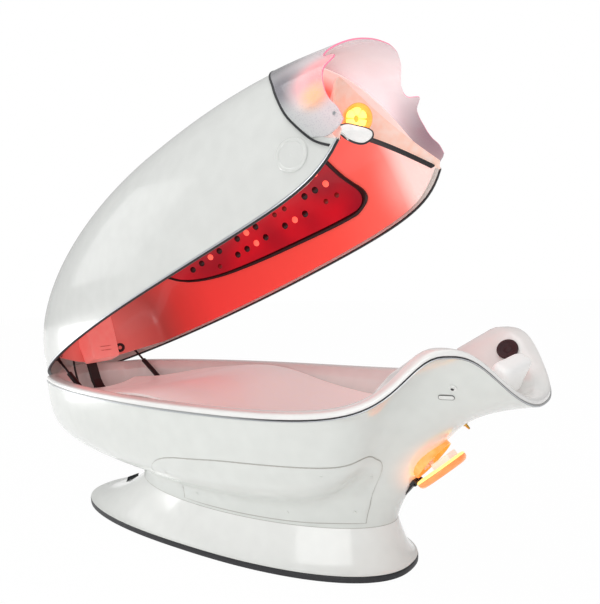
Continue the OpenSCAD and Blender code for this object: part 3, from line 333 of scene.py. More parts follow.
move = Matrix.Translation
AT_DOOR = move((866, 0, 370)) @ tilt(129)
LID_PIN, LID_DEG = Vector((96, 0, 4)), 12
AT_LID = AT_DOOR @ move(LID_PIN) @ tilt(LID_DEG) @ move(-LID_PIN)
AT_HINGE = move(HINGE) @ tilt(-OPEN_DEG)
AT_LAMP = AT_HINGE @ move((806 - HINGE[0], 0, 884 - HINGE[2])) @ tilt(118)
AT_POST_SLOT = AT_HINGE @ move((25, 0, 20))
AT_BUTTON = standing(*on_hull(*BUTTON_PLACE))


# ---- Mesh makers

N = 240  # points round the tub and plinth


def turns(n):
    return [360 * j / n for j in range(n)]


def steps(n):
    return [i / n for i in range(n + 1)]


def rings(point, section):
    """Rows round the tub or plinth: a section's (depth, height) pairs carried along an edge."""
    return [[point(t, d, z) for t in turns(N)] for d, z in section]


def two_skins(point, outside, inside):
    """Rows up the outside of a moulding and down its inside, with so many steps each."""
    return ([[point(t, v, 0) for t in turns(N)] for v in steps(outside)]
            + [[point(t, 1 - v, SKIN) for t in turns(N)] for v in steps(inside)])


def flat(rows):
    return [p for row in rows for p in row]


def piece(name, points, faces, body, finish, stands_for=(), sharp=38, holes=(), slot=None, marks=None):
    """A smooth-shaded object in place, riding on a body. holes are (matrix, radius, half length) cutters."""
    mesh = bpy.data.meshes.new(name)
    mesh.from_pydata([(p[0] * MM, p[1] * MM, p[2] * MM) for p in points], [], faces)
    if marks:
        mesh.polygons.foreach_set("material_index", marks)
    bm = bmesh.new()
    bm.from_mesh(mesh)
    bmesh.ops.remove_doubles(bm, verts=bm.verts, dist=2e-6)
    bmesh.ops.recalc_face_normals(bm, faces=bm.faces)
    bm.to_mesh(mesh)
    bm.free()
    obj = placed(name, mesh)
    for where, radius, half in holes:
        carve(obj, where, radius, half)
    mesh = obj.data
    mesh.polygons.foreach_set("use_smooth", [True] * len(mesh.polygons))
    mesh.set_sharp_from_angle(angle=math.radians(sharp))
    for f in finish if isinstance(finish, list) else [finish]:
        mesh.materials.append(f)
    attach(obj, body)
    if stands_for:
        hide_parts(*([stands_for] if isinstance(stands_for, str) else stands_for))
    return obj


def carve(obj, where, radius, half):
    """Cuts a hole through obj, in millimetres, along the matrix's Z axis: round, or square-cornered when radius
    is a pair of half sides."""
    bm = bmesh.new()
    if isinstance(radius, tuple):
        bmesh.ops.create_cube(bm, size=2)
        bmesh.ops.scale(bm, vec=(radius[0] * MM, radius[1] * MM, half * MM), verts=bm.verts)
    else:
        bmesh.ops.create_cone(bm, cap_ends=True, segments=96, radius1=radius * MM, radius2=radius * MM,
                              depth=2 * half * MM)
    mesh = bpy.data.meshes.new("cutter")
    bm.to_mesh(mesh)
    bm.free()
    cutter = placed("cutter", mesh)
    cutter.matrix_world = where
    cutter.matrix_world.translation = where.translation * MM
    cut = obj.modifiers.new("hole", "BOOLEAN")
    cut.object, cut.operation, cut.solver = cutter, "DIFFERENCE", "EXACT"
    graph = bpy.context.evaluated_depsgraph_get()
    done = bpy.data.meshes.new_from_object(obj.evaluated_get(graph))
    obj.modifiers.clear()
    obj.data = done
    bpy.data.objects.remove(cutter)


def ring_faces(rows, n, closed=True, start=0):
    """Faces between rows of n points that run round; closed joins the last row to the first."""
    def at(i, j):
        return start + i % rows * n + j % n

    return [(at(i, j), at(i, j + 1), at(i + 1, j + 1), at(i + 1, j))
            for i in range(rows if closed else rows - 1) for j in range(n)]


def band(name, rows, body, finish, stands_for=(), closed=True, **more):
    """A piece from rows of points that run round it."""
    return piece(name, flat(rows), ring_faces(len(rows), len(rows[0]), closed), body, finish, stands_for, **more)


def stacks(name, parts, body, finish, stands_for=(), tops=True, **more):
    """One piece from several stacks of rows, with flat ends; tops=False leaves the last ones open."""
    points, faces = [], []
    for rows in parts:
        start, n = len(points), len(rows[0])
        points += flat(rows)
        faces += ring_faces(len(rows), n, closed=False, start=start)
        faces.append(tuple(start + n - 1 - j for j in range(n)))
        if tops:
            faces.append(tuple(len(points) - n + j for j in range(n)))
    return piece(name, points, faces, body, finish, stands_for, **more)


def strip(name, sections, body, finish, stands_for=(), **more):
    """A piece with a closed section carried along, and flat ends."""
    return stacks(name, [sections], body, finish, stands_for, **more)


def tube_rows(path, radius, sides, lean, round_ends=False):
    """Round sections along a path; lean is a direction that the path never takes."""
    rows, last = [], len(path) - 1
    for i, p in enumerate(path):
        d = (Vector(path[min(last, i + 1)]) - Vector(path[max(0, i - 1)])).normalized()
        u = d.cross(Vector(lean)).normalized()
        v = d.cross(u)
        r = radius * (min(1, (0.3 + min(i, last - i)) / 2) ** 0.5 if round_ends else 1)
        rows.append([tuple(Vector(p) + r * (cos(t) * u + sin(t) * v)) for t in turns(sides)])
    return rows


def sheet(name, top, under, body, finish, stands_for=(), lit_edge=False, **more):
    """A piece between two open grids, closed along its borders; lit_edge gives its last row the second finish."""
    n, m = len(top), len(top[0])
    k, faces, marks = n * m, [], []

    def face(*f, mark=0):
        faces.append(f)
        marks.append(mark)

    for i in range(n - 1):
        for j in range(m - 1):
            a = i * m + j
            face(a, a + 1, a + m + 1, a + m)
            face(k + a, k + a + m, k + a + m + 1, k + a + 1)
    for j in range(m - 1):
        face(j, k + j, k + j + 1, j + 1)
        b = (n - 1) * m + j
        face(b, b + 1, k + b + 1, k + b, mark=int(lit_edge))
    for i in range(n - 1):
        a, b = i * m, i * m + m - 1
        face(a, a + m, k + a + m, k + a)
        face(b, k + b, k + b + m, b + m, mark=int(lit_edge))
    return piece(name, flat(top + under), faces, body, finish, stands_for, marks=marks, **more)


def lathe(name, profile, where, body, finish, stands_for=(), sides=96, **more):
    """A turned piece: the profile's (radius, height) points round the matrix's Z axis."""
    rows = [[tuple(where @ Vector((r * cos(t), r * sin(t), z))) for t in turns(sides)] for r, z in profile]
    return band(name, rows, body, finish, stands_for, closed=False, **more)


# ---- Finishes

def hexed(code):
    """Linear colour from an sRGB hex value."""
    parts = [int(code[i:i + 2], 16) / 255 for i in (1, 3, 5)]
    return [p / 12.92 if p <= 0.04045 else ((p + 0.055) / 1.055) ** 2.4 for p in parts] + [1.0]


def put(material, kind, inputs=None, **settings):
    """Adds a node with its settings; each input is a value or another node's output."""
    made = material.node_tree.nodes.new(kind)
    for key, value in settings.items():
        setattr(made, key, value)
    for key, value in (inputs or {}).items():
        if isinstance(value, bpy.types.NodeSocket):
            material.node_tree.links.new(value, made.inputs[key])
        else:
            made.inputs[key].default_value = value
    return made


def finish_of(name, colour, roughness, **sockets):
    """A named material whose plain numbers stand on the shader's own sockets."""
    material = bpy.data.materials.new(name)
    material.use_nodes = True
    shader = material.node_tree.nodes["Principled BSDF"]
    shader.inputs["Base Color"].default_value = hexed(colour)
    shader.inputs["Roughness"].default_value = roughness
    for key, value in sockets.items():
        shader.inputs[key.replace("_", " ")].default_value = value
    return material, shader


def link(material, output, shader, socket):
    material.node_tree.links.new(output, shader.inputs[socket])


def here(material):
    """The object's own coordinates, in metres."""
    return put(material, "ShaderNodeTexCoord").outputs["Object"]


def maths(material, operation, a, b, kind="ShaderNodeMath", output=0, **settings):
    """One step of arithmetic with two values, each a number or an output."""
    return put(material, kind, {0: a, 1: b}, operation=operation, **settings).outputs[output]


def pattern(material, size_mm, detail=2.0, stretch=(1, 1, 1)):
    """Noise whose blobs are about size_mm wide."""
    spread = put(material, "ShaderNodeMapping", {"Vector": here(material), "Scale": stretch})
    return put(material, "ShaderNodeTexNoise", {"Vector": spread.outputs["Vector"], "Scale": 1000 / size_mm,
                                                "Detail": detail, "Roughness": 0.55}).outputs["Fac"]


def shades(material, driver, stops):
    """Colour ramp with (place, hex) stops, driven by an output."""
    ramp = put(material, "ShaderNodeValToRGB", {"Fac": driver})
    bar = ramp.color_ramp
    while len(bar.elements) < len(stops):
        bar.elements.new(0.5)
    for element, (place, code) in zip(bar.elements, stops):
        element.position = place
        element.color = hexed(code)
    return ramp.outputs["Color"]


def graded(material, shader, driver, colours, high=0.7):
    """Base colour that goes from one of two colours to the other with an output."""
    link(material, shades(material, driver, [(0.3, colours[0]), (high, colours[1])]), shader, "Base Color")


def relief(material, shader, height, depth_mm, strength):
    """Raises the surface by a pattern, depth_mm deep."""
    bump = put(material, "ShaderNodeBump", {"Height": height, "Distance": depth_mm * MM, "Strength": strength})
    link(material, bump.outputs["Normal"], shader, "Normal")


def ranged(material, value, start, end, **settings):
    """A value between the two of start brought between the two of end."""
    made = put(material, "ShaderNodeMapRange", {"Value": value, "From Min": start[0], "From Max": start[1],
                                                "To Min": end[0], "To Max": end[1]}, **settings)
    return made.outputs["Result"]


def near_to(material, centre, reach):
    """1 at a point in metres, falling smoothly to 0 at reach."""
    away = maths(material, "DISTANCE", here(material), centre, "ShaderNodeVectorMath", "Value")
    return ranged(material, away, (0.0, reach), (1.0, 0.0), interpolation_type="SMOOTHERSTEP")


def blended(material, share, first, second):
    """Mix of two colours, each a hex or an output, by a share."""
    first, second = (hexed(c) if isinstance(c, str) else c for c in (first, second))
    return put(material, "ShaderNodeMix", {0: share, 6: first, 7: second}, data_type="RGBA").outputs[2]


def along_slope(material, start, end):
    """0 to 1 from one point to another, in metres."""
    a, b = Vector(start), Vector(end)
    d = b - a
    from_a = maths(material, "SUBTRACT", here(material), tuple(a), "ShaderNodeVectorMath", "Vector")
    return maths(material, "DOT_PRODUCT", from_a, tuple(d / d.length_squared), "ShaderNodeVectorMath", "Value")


def gelcoat(name, darker, lighter, **sockets):
    """White gelcoat on glass fibre, waxed and polished: a deep wet gloss with a faint orange peel."""
    m, s = finish_of(name, lighter, 0.2, Coat_Weight=0.4, Coat_Roughness=0.06, **sockets)
    wave = pattern(m, 60, 1.0)
    relief(m, s, wave, 0.12, 0.5)
    graded(m, s, wave, (darker, lighter))
    return m, s


def painted_light_gelcoat(name, darker, lighter, glow, strength):
    """The same gelcoat with painted light: an even emission that stands in for the light the lamps inside the tub
    throw on the lining and the white floor throws on the plinth.
    """
    return gelcoat(name, darker, lighter, Emission_Strength=strength, Emission_Color=hexed(glow))[0]


def hull_gelcoat():
    """The same gelcoat on the tub's outside, with a painted orange glow at the head end that stands in for the amber
    lamp's light on it.
    """
    m, s = gelcoat("tub_gelcoat", "#DCDFDB", "#E0E3DF", Emission_Strength=0.55)
    # Painted light: an orange emission round a point beside the amber lamp
    glow = near_to(m, (0.86, -0.02, 0.37), 0.17)
    link(m, blended(m, glow, "#000000", "#FF8A4A"), s, "Emission Color")
    return m


def red_lit_lining():
    """White moulding inside the canopy, its colour painted light: the heater's red light painted in as a coral tone
    and glow, darker in a band of painted shade beside the hinge cover, paler in a painted-light patch on the far
    side, and fading toward the face end.
    """
    m, s = finish_of("red_lit_lining", "#F0524A", 0.3, Coat_Weight=0.3, Emission_Strength=0.42)
    head = along_slope(m, (-0.75, 0, 0.62), (0.75, 0, 1.25))
    body = shades(m, head, [(0.0, "#C9655F"), (0.08, "#A63F3B"), (0.15, "#CC3D39"), (0.26, "#EA4541"),
                            (0.7, "#F1574D"), (1.0, "#F4796C")])
    # Painted light: a pale patch on the far side, then the painted red fading out toward the face end
    pale = near_to(m, (0.71, 0.30, 1.32), 0.28)
    tone = blended(m, pale, body, "#F0CCC3")
    face_end = along_slope(m, [v * MM for v in opened((735, 0, 900))], [v * MM for v in opened((800, 0, 900))])
    tone = blended(m, put(m, "ShaderNodeClamp", {"Value": face_end}).outputs["Result"], tone, "#F6E2DC")
    link(m, tone, s, "Base Color")
    link(m, tone, s, "Emission Color")
    return m


def rubber():
    """Moulded EPDM seal: deep grey, dull, with a fine grain."""
    m, s = finish_of("moulded_rubber", "#242427", 0.5, Specular_IOR_Level=0.45)
    grain = pattern(m, 2.5)
    relief(m, s, grain, 0.05, 0.4)
    graded(m, s, grain, ("#1E1E21", "#2E2E32"), high=0.75)
    return m


def rim_rubber():
    """The same rubber in the tub's rim: pale grey from the foot end to past the middle, dark toward the head, and
    pale again at the head tip.
    """
    m, s = finish_of("rim_rubber", "#242427", 0.4, Specular_IOR_Level=0.5)
    foot_to_head = along_slope(m, (-0.45, 0, 0), (1.25, 0, 0))
    link(m, shades(m, foot_to_head, [(0.0, "#BFC2C2"), (0.50, "#9B9E9F"), (0.62, "#1B1B1E"), (0.90, "#1E1E21"),
                              (0.955, "#8E8F8F"), (1.0, "#DCDCDA")]), s, "Base Color")
    return m


def bright_trim():
    """Anodised aluminium strip in the seal: a soft silver line."""
    m, s = finish_of("anodised_strip", "#C9CCD0", 0.28, Metallic=0.9)
    graded(m, s, pattern(m, 3, 2, (1, 12, 12)), ("#B9BCC1", "#D6D8DB"))
    return m


def coated(name, colours, roughness, grain_mm=2.0, depth=0.06, stretch=(1, 1, 1), **sockets):
    """Powder coat or moulded plastic: one colour with a fine stipple."""
    m, s = finish_of(name, colours[0], roughness, **sockets)
    grain = pattern(m, grain_mm, 3, stretch)
    graded(m, s, grain, colours)
    relief(m, s, grain, depth, 0.5)
    return m


def metal(name, colours, roughness, grain_mm, stretch=(1, 1, 1)):
    """Metal with the marks of how it was made: its grain runs along stretch."""
    return coated(name, colours, roughness, grain_mm, 0.03, stretch, Metallic=0.95)


FLAKE_MM = 5


def smoked_acrylic():
    """Blown acrylic visor, smoky and dusted with metal flake, with painted light and shade on it: painted shade dark
    at the top of its seam and dim on the near side, a pale painted light and a mauve painted shade on the far side,
    and a rosy and amber painted glow over the lamp.
    """
    m, s = finish_of("smoked_acrylic", "#E0D8DE", 0.14, Coat_Weight=0.5, Emission_Strength=0.34)
    front = along_slope(m, (0.42, 0, 1.62), (0.62, 0, 1.82))
    smoke = shades(m, front, [(0.0, "#C9CCCB"), (0.25, "#EEE6E9"), (0.5, "#F8EFF2"), (1.0, "#DDD0DA")])
    # Painted light and shade in patches: dark and dim painted shade by the seam, a paler painted light and a mauve
    # painted shade on the far side, a rosy and amber painted glow by the lamp
    dark = near_to(m, (0.46, -0.21, 1.61), 0.20)
    far = near_to(m, (0.64, 0.26, 1.60), 0.42)
    rosy = near_to(m, (0.70, -0.32, 1.51), 0.13)
    dim = near_to(m, (0.57, -0.33, 1.50), 0.14)
    mauve = near_to(m, (0.77, 0.35, 1.47), 0.25)
    amber = near_to(m, (0.70, -0.345, 1.455), 0.07)
    tone = blended(m, dim, blended(m, dark, smoke, "#55525C"), "#85838A")
    tone = blended(m, mauve, blended(m, far, tone, "#F4ECF0"), "#A08A9A")
    tone = blended(m, amber, blended(m, rosy, tone, "#FF98A0"), "#FFC690")
    flake = put(m, "ShaderNodeTexVoronoi", {"Vector": here(m), "Scale": 1000 / FLAKE_MM}, feature="F1")
    dots = ranged(m, flake.outputs["Distance"], (0.24, 0.38), (0.42, 0.0))
    link(m, blended(m, dots, tone, "#948C9A"), s, "Base Color")
    # Painted glow: an emission on the far side and over the lamp, standing in for light on the visor
    glow = blended(m, mauve, blended(m, far, "#0A0809", "#F0E4E8"), "#40323B")
    link(m, blended(m, rosy, glow, "#FF7F70"), s, "Emission Color")
    body = ranged(m, front, (0.0, 0.7), (0.95, 0.48))
    link(m, maths(m, "ADD", body, maths(m, "MULTIPLY", dots, 0.35), use_clamp=True), s, "Alpha")
    return m


def acrylic_edge():
    """Polished edge of the visor, with a painted pink glow that stands in for the lamp's light carried in it."""
    return finish_of("lit_acrylic_edge", "#F58FAE", 0.15, Emission_Strength=0.3, Emission_Color=hexed("#FF7F9C"))[0]


def heater_glass():
    """Dyed polycarbonate over the heater, backlit crimson, its tone varying in broad blotches."""
    m, s = finish_of("crimson_lens", "#A3061F", 0.34, Coat_Weight=0.15, Emission_Strength=0.4)
    tone = shades(m, pattern(m, 260, 1.0), [(0.32, "#8A0420"), (0.5, "#A80620"), (0.68, "#C60A22")])
    link(m, tone, s, "Base Color")
    link(m, tone, s, "Emission Color")
    return m


def glowing(name, base, light, strength, roughness=0.3, **sockets):
    """A plastic or glass that gives light: its own colour and an emission, which is a lamp's own light on the lamps
    and painted light on the parts that are no lamp.
    """
    m, s = finish_of(name, base, roughness, Emission_Strength=strength, Emission_Color=hexed(light), **sockets)
    graded(m, s, pattern(m, 30, 1.0), (base, light))
    return m


WHITE = gelcoat("polished_gelcoat", "#E6E7E4", "#EAEBE8")[0]
SHELL = gelcoat("canopy_gelcoat", "#D8DAD7", "#DCDEDB")[0]
# Painted light: the plinth and the tub lining glow faintly with an even emission
SKIRT = painted_light_gelcoat("plinth_gelcoat", "#E0E1DE", "#E4E5E2", "#FFFFFF", 0.1)
LINING = painted_light_gelcoat("tub_lining_gelcoat", "#E6E7E5", "#EAEBE9", "#FFECE8", 0.07)
HULL = hull_gelcoat()
RED = red_lit_lining()
RUBBER = rubber()
RIM_RUBBER = rim_rubber()
STRIP = bright_trim()
STEEL = metal("turned_steel", ("#AEB1B5", "#D2D4D6"), 0.3, 4, (1, 1, 14))
ZINC = metal("zinc_plate", ("#9DA1A6", "#BFC2C6"), 0.42, 9)
BRASS = metal("turned_brass", ("#B98A35", "#DDAF58"), 0.3, 3, (1, 1, 10))
BLACK_METAL = coated("black_powder_coat", ("#141416", "#242428"), 0.42)
GREY_METAL = coated("grey_powder_coat", ("#4A4E54", "#5C6066"), 0.5)
GREY_PLASTIC = coated("grey_abs", ("#2B2D31", "#3A3C41"), 0.45)
PALE_PLASTIC = coated("white_abs", ("#EFEDE8", "#F7F5F1"), 0.35)
# Painted light: the lip's white lobe and the bed glow with an even emission
LIT_WHITE = glowing("lamp_lit_gelcoat", "#EFEEEC", "#F8F7F5", 0.32, 0.22)
BED = glowing("thermoformed_bed", "#F8F0EE", "#FAEDEA", 0.2, 0.32, Coat_Weight=0.2)
BOARD = coated("green_board", ("#1F5A3F", "#2E7350"), 0.4, 1.5)
MAROON = coated("maroon_speaker_cloth", ("#2A1518", "#4A262B"), 0.7, 1.6, 0.3)
# Painted light: the hinge cover and the brow glow with an even pink emission
PINK_COVER = glowing("pink_lit_cover", "#F2827C", "#F48F88", 0.36, 0.3)
BROW = glowing("pink_lit_brow", "#FFE9E0", "#FFD9C8", 0.16, 0.3)
VISOR = smoked_acrylic()
VISOR_EDGE = acrylic_edge()
HEATER = heater_glass()
BEZEL = coated("black_heater_bezel", ("#1A0508", "#2C0A10"), 0.35)
EMITTER = coated("dark_emitter", ("#27040A", "#3A0810"), 0.25)
DULL_LED = coated("unlit_diode", ("#7A0A18", "#8E2A16"), 0.25)
LED = glowing("salmon_diode", "#FF7A68", "#FF6A58", 0.8)
LAMP_BOWL = glowing("amber_lamp_bowl", "#FFB071", "#FF8F3E", 0.75)
LAMP_FACE = glowing("yellow_lamp_face", "#FFE58A", "#FFE27A", 1.15)
# Painted light: the aroma lid and its holder glow with an even emission, the holder's standing in for light where it
# sits in shade
LID = glowing("coral_acrylic", "#F79B5C", "#F88A4E", 0.55, 0.2, Alpha=0.92)
HOLDER = glowing("lamp_lit_holder", "#D0D0C7", "#DDDDD4", 0.5, 0.45)
VENT = coated("vent_shadow", ("#D9807A", "#E08B84"), 0.5)
PLATE_LINE = coated("plate_outline", ("#5E605F", "#6C6E6D"), 0.5)
SEAM = coated("seam_shadow", ("#A8A6A1", "#B6B4AF"), 0.6)
BULB = glowing("warm_bulb", "#FFE08A", "#FFC94A", 2.5)
# Painted light: the pillow glows faintly, brightening its white
PILLOW_SKIN = coated("pillow_leatherette", ("#FAF9F7", "#FEFDFC"), 0.5, 2.2, 0.25, Emission_Strength=0.14)


# ---- Plinth and tub

band("plinth_trim", rings(floor_ring, (
    (2.5, 0.2), (0.5, 2), (0, 6), (0, 16), (1.2, 20), (4, TRIM_H), (TRIM_T, TRIM_H), (TRIM_T, 0.2))),
    "base", RUBBER, "floor_trim", slot="black_rubber")
band("plinth_moulding", two_skins(skirt_pt, 26, 20), "base", SKIRT, "plinth_skirt", slot="gel_white")
band("tub_moulding", two_skins(hull_pt, 70, 36), "base", HULL, "lower_shell",
     holes=[(AT_DOOR, CUP_HOLE_R, 100), (AT_BUTTON, BUTTON_HOLE_R, 30)], slot="gel_white")


def panel_top(t):
    return curve([(254, 0.1), (259, 0.34), (264, 0.53), (268, 0.6), (279, 0.657), (300, 0.62), (322, 0.457),
                  (329.4, 0.379), (334.5, 0.14)], t)


def panel_pt(f, g, lift):
    t = mix(*PANEL_T, f)
    edge = min(f * 22, (1 - f) * 22, g * 9, (1 - g) * 9, 1)
    return hull_pt(t, mix(PANEL_LOW, panel_top(t), g), -(0.8 + lift * (1 - (1 - edge) ** 2)))


sheet("side_panel", *([[panel_pt(f, g, lift) for g in steps(40)] for f in steps(120)] for lift in (2.6, 0)),
      "base", HULL, "service_panel", slot="gel_white")

band("waist_joint", rings(lambda t, d, z: (*waist_xy(t, d), WAIST_Z + z), (
    (0.6, -1.0), (-0.5, -0.8), (-0.5, 0.8), (0.6, 1.0))), "base", SEAM, slot="grey_plastic")


def joint_pt(f, g, grow, lift):
    """Point of the shadow line round the side panel: a flat bead across its edge, sunk under its face."""
    t = mix(*PANEL_T, f + grow * 2 * (f - 0.5))
    return hull_pt(t, mix(PANEL_LOW, panel_top(t), g + grow * 5 * (g - 0.5)), -lift)


SIDE = steps(60)[:-1]
PANEL_EDGE = [(f, 0) for f in SIDE] + [(1, f) for f in SIDE] + [(1 - f, 1) for f in SIDE] + [(0, 1 - f) for f in SIDE]
band("side_panel_joint", [[joint_pt(*edge, *bead) for bead in (
    (-0.004, 0.2), (-0.004, 0.9), (0.004, 0.9), (0.004, 0.2))] for edge in PANEL_EDGE],
    "base", SEAM, slot="grey_plastic")
band("rim_line", rings(rim_pt, (
    (1, 0.3), (-1.2, 0.8), (-1.5, 3.4), (-1.2, 6.1), (1, ACCENT_H - 0.3), (9, ACCENT_H - 0.3), (9, 0.3))),
    "base", RIM_RUBBER, "rim_accent", slot="black_rubber")
band("rim_strip", rings(rim_pt, ((0, 0.9), (-1.9, 1.0), (-2.3, 1.7), (-2.3, 2.9), (-1.9, 3.5), (0, 3.6))),
     "base", STRIP, slot="steel")

flange = ([(d, FLANGE_H + z) for d, z in ((50, -22), (44, -13), (36, -6))]
          + [(24, ACCENT_H), (1.5, ACCENT_H), (0.3, ACCENT_H + 1), (0, ACCENT_H + 6)]
          + [(d, FLANGE_H + z) for d, z in ((0, -8), (1.5, -4), (5, -1.5), (10, -0.4), (16, 0), (28, 0.3),
                                            (40, 0), (47, -2.2), (53, -6))])
wall = [0.1 + 0.9 * f for f in steps(34)]
liner = ([[wall_pt(t, f, 7) for t in turns(N)] for f in reversed(wall)]
         + rings(rim_pt, flange)
         + [[wall_pt(t, f, 0) for t in turns(N)] for f in wall])


def tub_lining():
    faces = ring_faces(len(liner), N, closed=False)
    half = N // 2
    for r in (0, len(liner) - 1):
        for j in range(half):
            a, b, c, d = r * N + j, r * N + j + 1, r * N + (N - j) % N, r * N + N - j - 1
            faces.append((a, b, d) if j == 0 else (a, b, c) if j == half - 1 else (a, b, d, c))
    piece("tub_lining", flat(liner), faces, "base", LINING, "tub_liner", slot="gel_white")


tub_lining()


def bed_row(x, drop):
    dish = 10
    return [(x, bed_w(x) * f,
             bed_z(x) + bed_rise(x) * abs(f) ** 3 - dish * (1 - f * f) - drop * (1 - 0.55 * abs(f) ** 12))
            for f in (-1 + j / 24 for j in range(49))]


sheet("contour_bed", *([bed_row(mix(-720, 935, f), drop) for f in steps(120)] for drop in (0, BED_T)),
      "base", BED, "bed_panel", slot="bed_cream")


# ---- Canopy

ROUND = [180 * j / 120 for j in range(121)]


def shell_grid(d):
    return [[opened(canopy_pt(canopy_x(f, TAIL_X + d + 0.4, seam_x(a)), a, d)) for a in ROUND] for f in steps(90)]


def roof_grid(d):
    return [[opened(roof_pt(canopy_x(f, tail_at(d) + 1, liner_end(a)), a, d)) for a in ROUND] for f in steps(80)]


sheet("canopy_moulding", shell_grid(0), shell_grid(SHELL_T), "canopy", SHELL, "canopy_shell", slot="gel_white")
sheet("canopy_lining", roof_grid(LINER_IN), roof_grid(LINER_IN + LINER_T), "canopy", RED, "canopy_liner",
      holes=[(AT_POST_SLOT, (29, 28), 100)], slot="interior_pink")


def seal_at(i, n, d, z):
    f = abs(2 * i / n - 1)
    x = canopy_x(f ** 1.15, TAIL_X + d + 0.6, 916)
    y = 0 if i == n // 2 else (1 if i < n / 2 else -1) * canopy_w(x, d)
    return opened((x, y, rim_h(x) + FLANGE_Z + z))


def rim_section(name, section, finish, stands_for=(), **more):
    n = 260
    strip(name, [[seal_at(i, n, d, z) for d, z in section] for i in range(n + 1)], "canopy", finish, stands_for,
          **more)


rim_section("canopy_rim_seal", ((-1.6, 3.6), (-2.2, 1.5), (-1.6, -0.8), (0.5, -1.8), (5, -2.0), (10.5, -1.9),
                                (12.6, -0.6), (13, 2), (10, 6), (SHELL_T + 0.2, 0.1), (0.4, 0.1)),
            RUBBER, "canopy_seal", slot="black_rubber")
rim_section("canopy_rim_strip", ((-0.2, 1.2), (-2.6, 1.0), (-3.0, 2.2), (-3.0, 5.4), (-2.4, 6.6), (-0.2, 6.8)),
            STRIP, slot="steel")

HEATER_L, HEATER_W, HEATER_R = 1040, 900, 70


def heater_edge():
    """Points of the heater's rounded outline, as shares (foot to head, side to side)."""
    r, out = HEATER_R, []
    corners = ((HEATER_L - r, HEATER_W - r, 0), (r, HEATER_W - r, 90), (r, r, 180), (HEATER_L - r, r, 270))
    for k, (cx, cy, a0) in enumerate(corners):
        out += [((cx + r * cos(a0 + 90 * i / 16)) / HEATER_L, (cy + r * sin(a0 + 90 * i / 16)) / HEATER_W)
                for i in range(17)]
        nx, ny, b0 = corners[(k + 1) % 4]
        p = (cx + r * cos(a0 + 90), cy + r * sin(a0 + 90))
        q = (nx + r * cos(b0), ny + r * sin(b0))
        out += [(mix(p[0], q[0], i / 24) / HEATER_L, mix(p[1], q[1], i / 24) / HEATER_W) for i in range(1, 24)]
    return out


EDGE = heater_edge()
LENS_D = LINER_IN + 9.5


def lens_loop(share, d):
    return [opened(heater_pt(mix(0.5, e[0], share), mix(0.5, e[1], share), d, 9.5)) for e in EDGE]


LENS_ROWS = ([lens_loop(0.04 + 0.96 * f, LENS_D + 3) for f in steps(16)]
             + [lens_loop(1 - 0.96 * f, LENS_D) for f in steps(16)])
strip("heater_window", LENS_ROWS, "canopy", HEATER, "heater_lens", slot="heater_red")
band("heater_frame", [[opened(heater_pt(*e, LINER_IN + d, o)) for e in EDGE] for d, o in (
    (7.5, -6), (7.5, 9), (14, 9.5), (16, 7.5), (16.6, 3), (15.6, -3), (13, -6))],
    "canopy", BEZEL, "heater_bezel", slot="black_rubber")

# Leaning grid of the heater's round windows: step and lean in millimetres, rows in degrees
GRID_X, GRID_STEP, GRID_LEAN, GRID_A, GRID_ROW = -486, 58, 19, 14, 7.7


def heater_kind(col, row):
    """Clusters: a column of diodes between two of emitters, each cluster one row lower than the last."""
    if (row + col // 4) % 3 == 2:
        return ("unlit", "unlit", "none", "emitter")[col % 4]
    return ("emitter", "diode", "emitter", "none")[col % 4]


def on_lens(x, a):
    """Whether a place lies on the lens, clear of its edge."""
    return fold(a) > heater_low(x) + 4.5 and -478 < x < heater_head(a) - 32


def disc_rows(x, a, diameter):
    """A slightly domed disc in the lens, its last ring almost a point."""
    d = LINER_IN + 12.6
    p = Vector(roof_pt(x, a, d))
    u = (Vector(roof_pt(x + 3, a, d)) - p).normalized()
    w = Vector(roof_pt(x, a + 1, d)) - p
    v = (w - u * w.dot(u)).normalized()
    out = u.cross(v)
    if out.z > 0:
        out = -out
    return [[opened(p + diameter / 2 * r * (cos(t) * u + sin(t) * v) + h * out) for t in turns(24)]
            for r, h in ((1, -0.6), (1, 1.2), (0.86, 1.9), (0.001, 2.1))]


def discs(name, kind, diameter, finish, node_name, slot):
    """Round windows set flush in the heater, where the grid's pattern gives that kind."""
    places = [(GRID_X + GRID_STEP * col - GRID_LEAN * row, GRID_A + GRID_ROW * row)
              for col in range(26) for row in range(20) if heater_kind(col, row) == kind]
    stacks(name, [disc_rows(x, a, diameter) for x, a in places if on_lens(x, a)], "canopy", finish, node_name,
           tops=False, slot=slot)


discs("emitter_windows", "emitter", 29, EMITTER, "ir_emitters", "emitter_dark")
discs("diode_windows", "diode", 28, LED, "red_leds", "led_salmon")
discs("unlit_windows", "unlit", 22, DULL_LED, (), "emitter_dark")

half_angles = [0.6 + (90 - 0.6) * i / 90 for i in range(91)]
VISOR_ANGLES = half_angles + [180 - a for a in reversed(half_angles[:-1])]


def visor_grid(d):
    return [[opened(canopy_pt(mix(max(seam_x(a) - VISOR_LAP, visor_foot(a)), visor_x(a), f), a, d, 3))
             for a in VISOR_ANGLES] for f in steps(40)]


sheet("visor_blown", visor_grid(-VISOR_T - 0.7), visor_grid(-0.7), "canopy", [VISOR, VISOR_EDGE], "visor",
      lit_edge=True, slot="visor_smoke")
strip("visor_line", [[opened(canopy_pt(seam_x(a) + o, a, d, 2)) for d, o in (
    (-0.3, -21), (-VISOR_T - 1.2, -20.6), (-VISOR_T - 1.9, -18), (-VISOR_T - 1.4, -15.2), (-0.3, -14.8))]
    for a in (mix(1, 179, f) for f in steps(160))], "canopy", RUBBER, "visor_seam", slot="black_rubber")


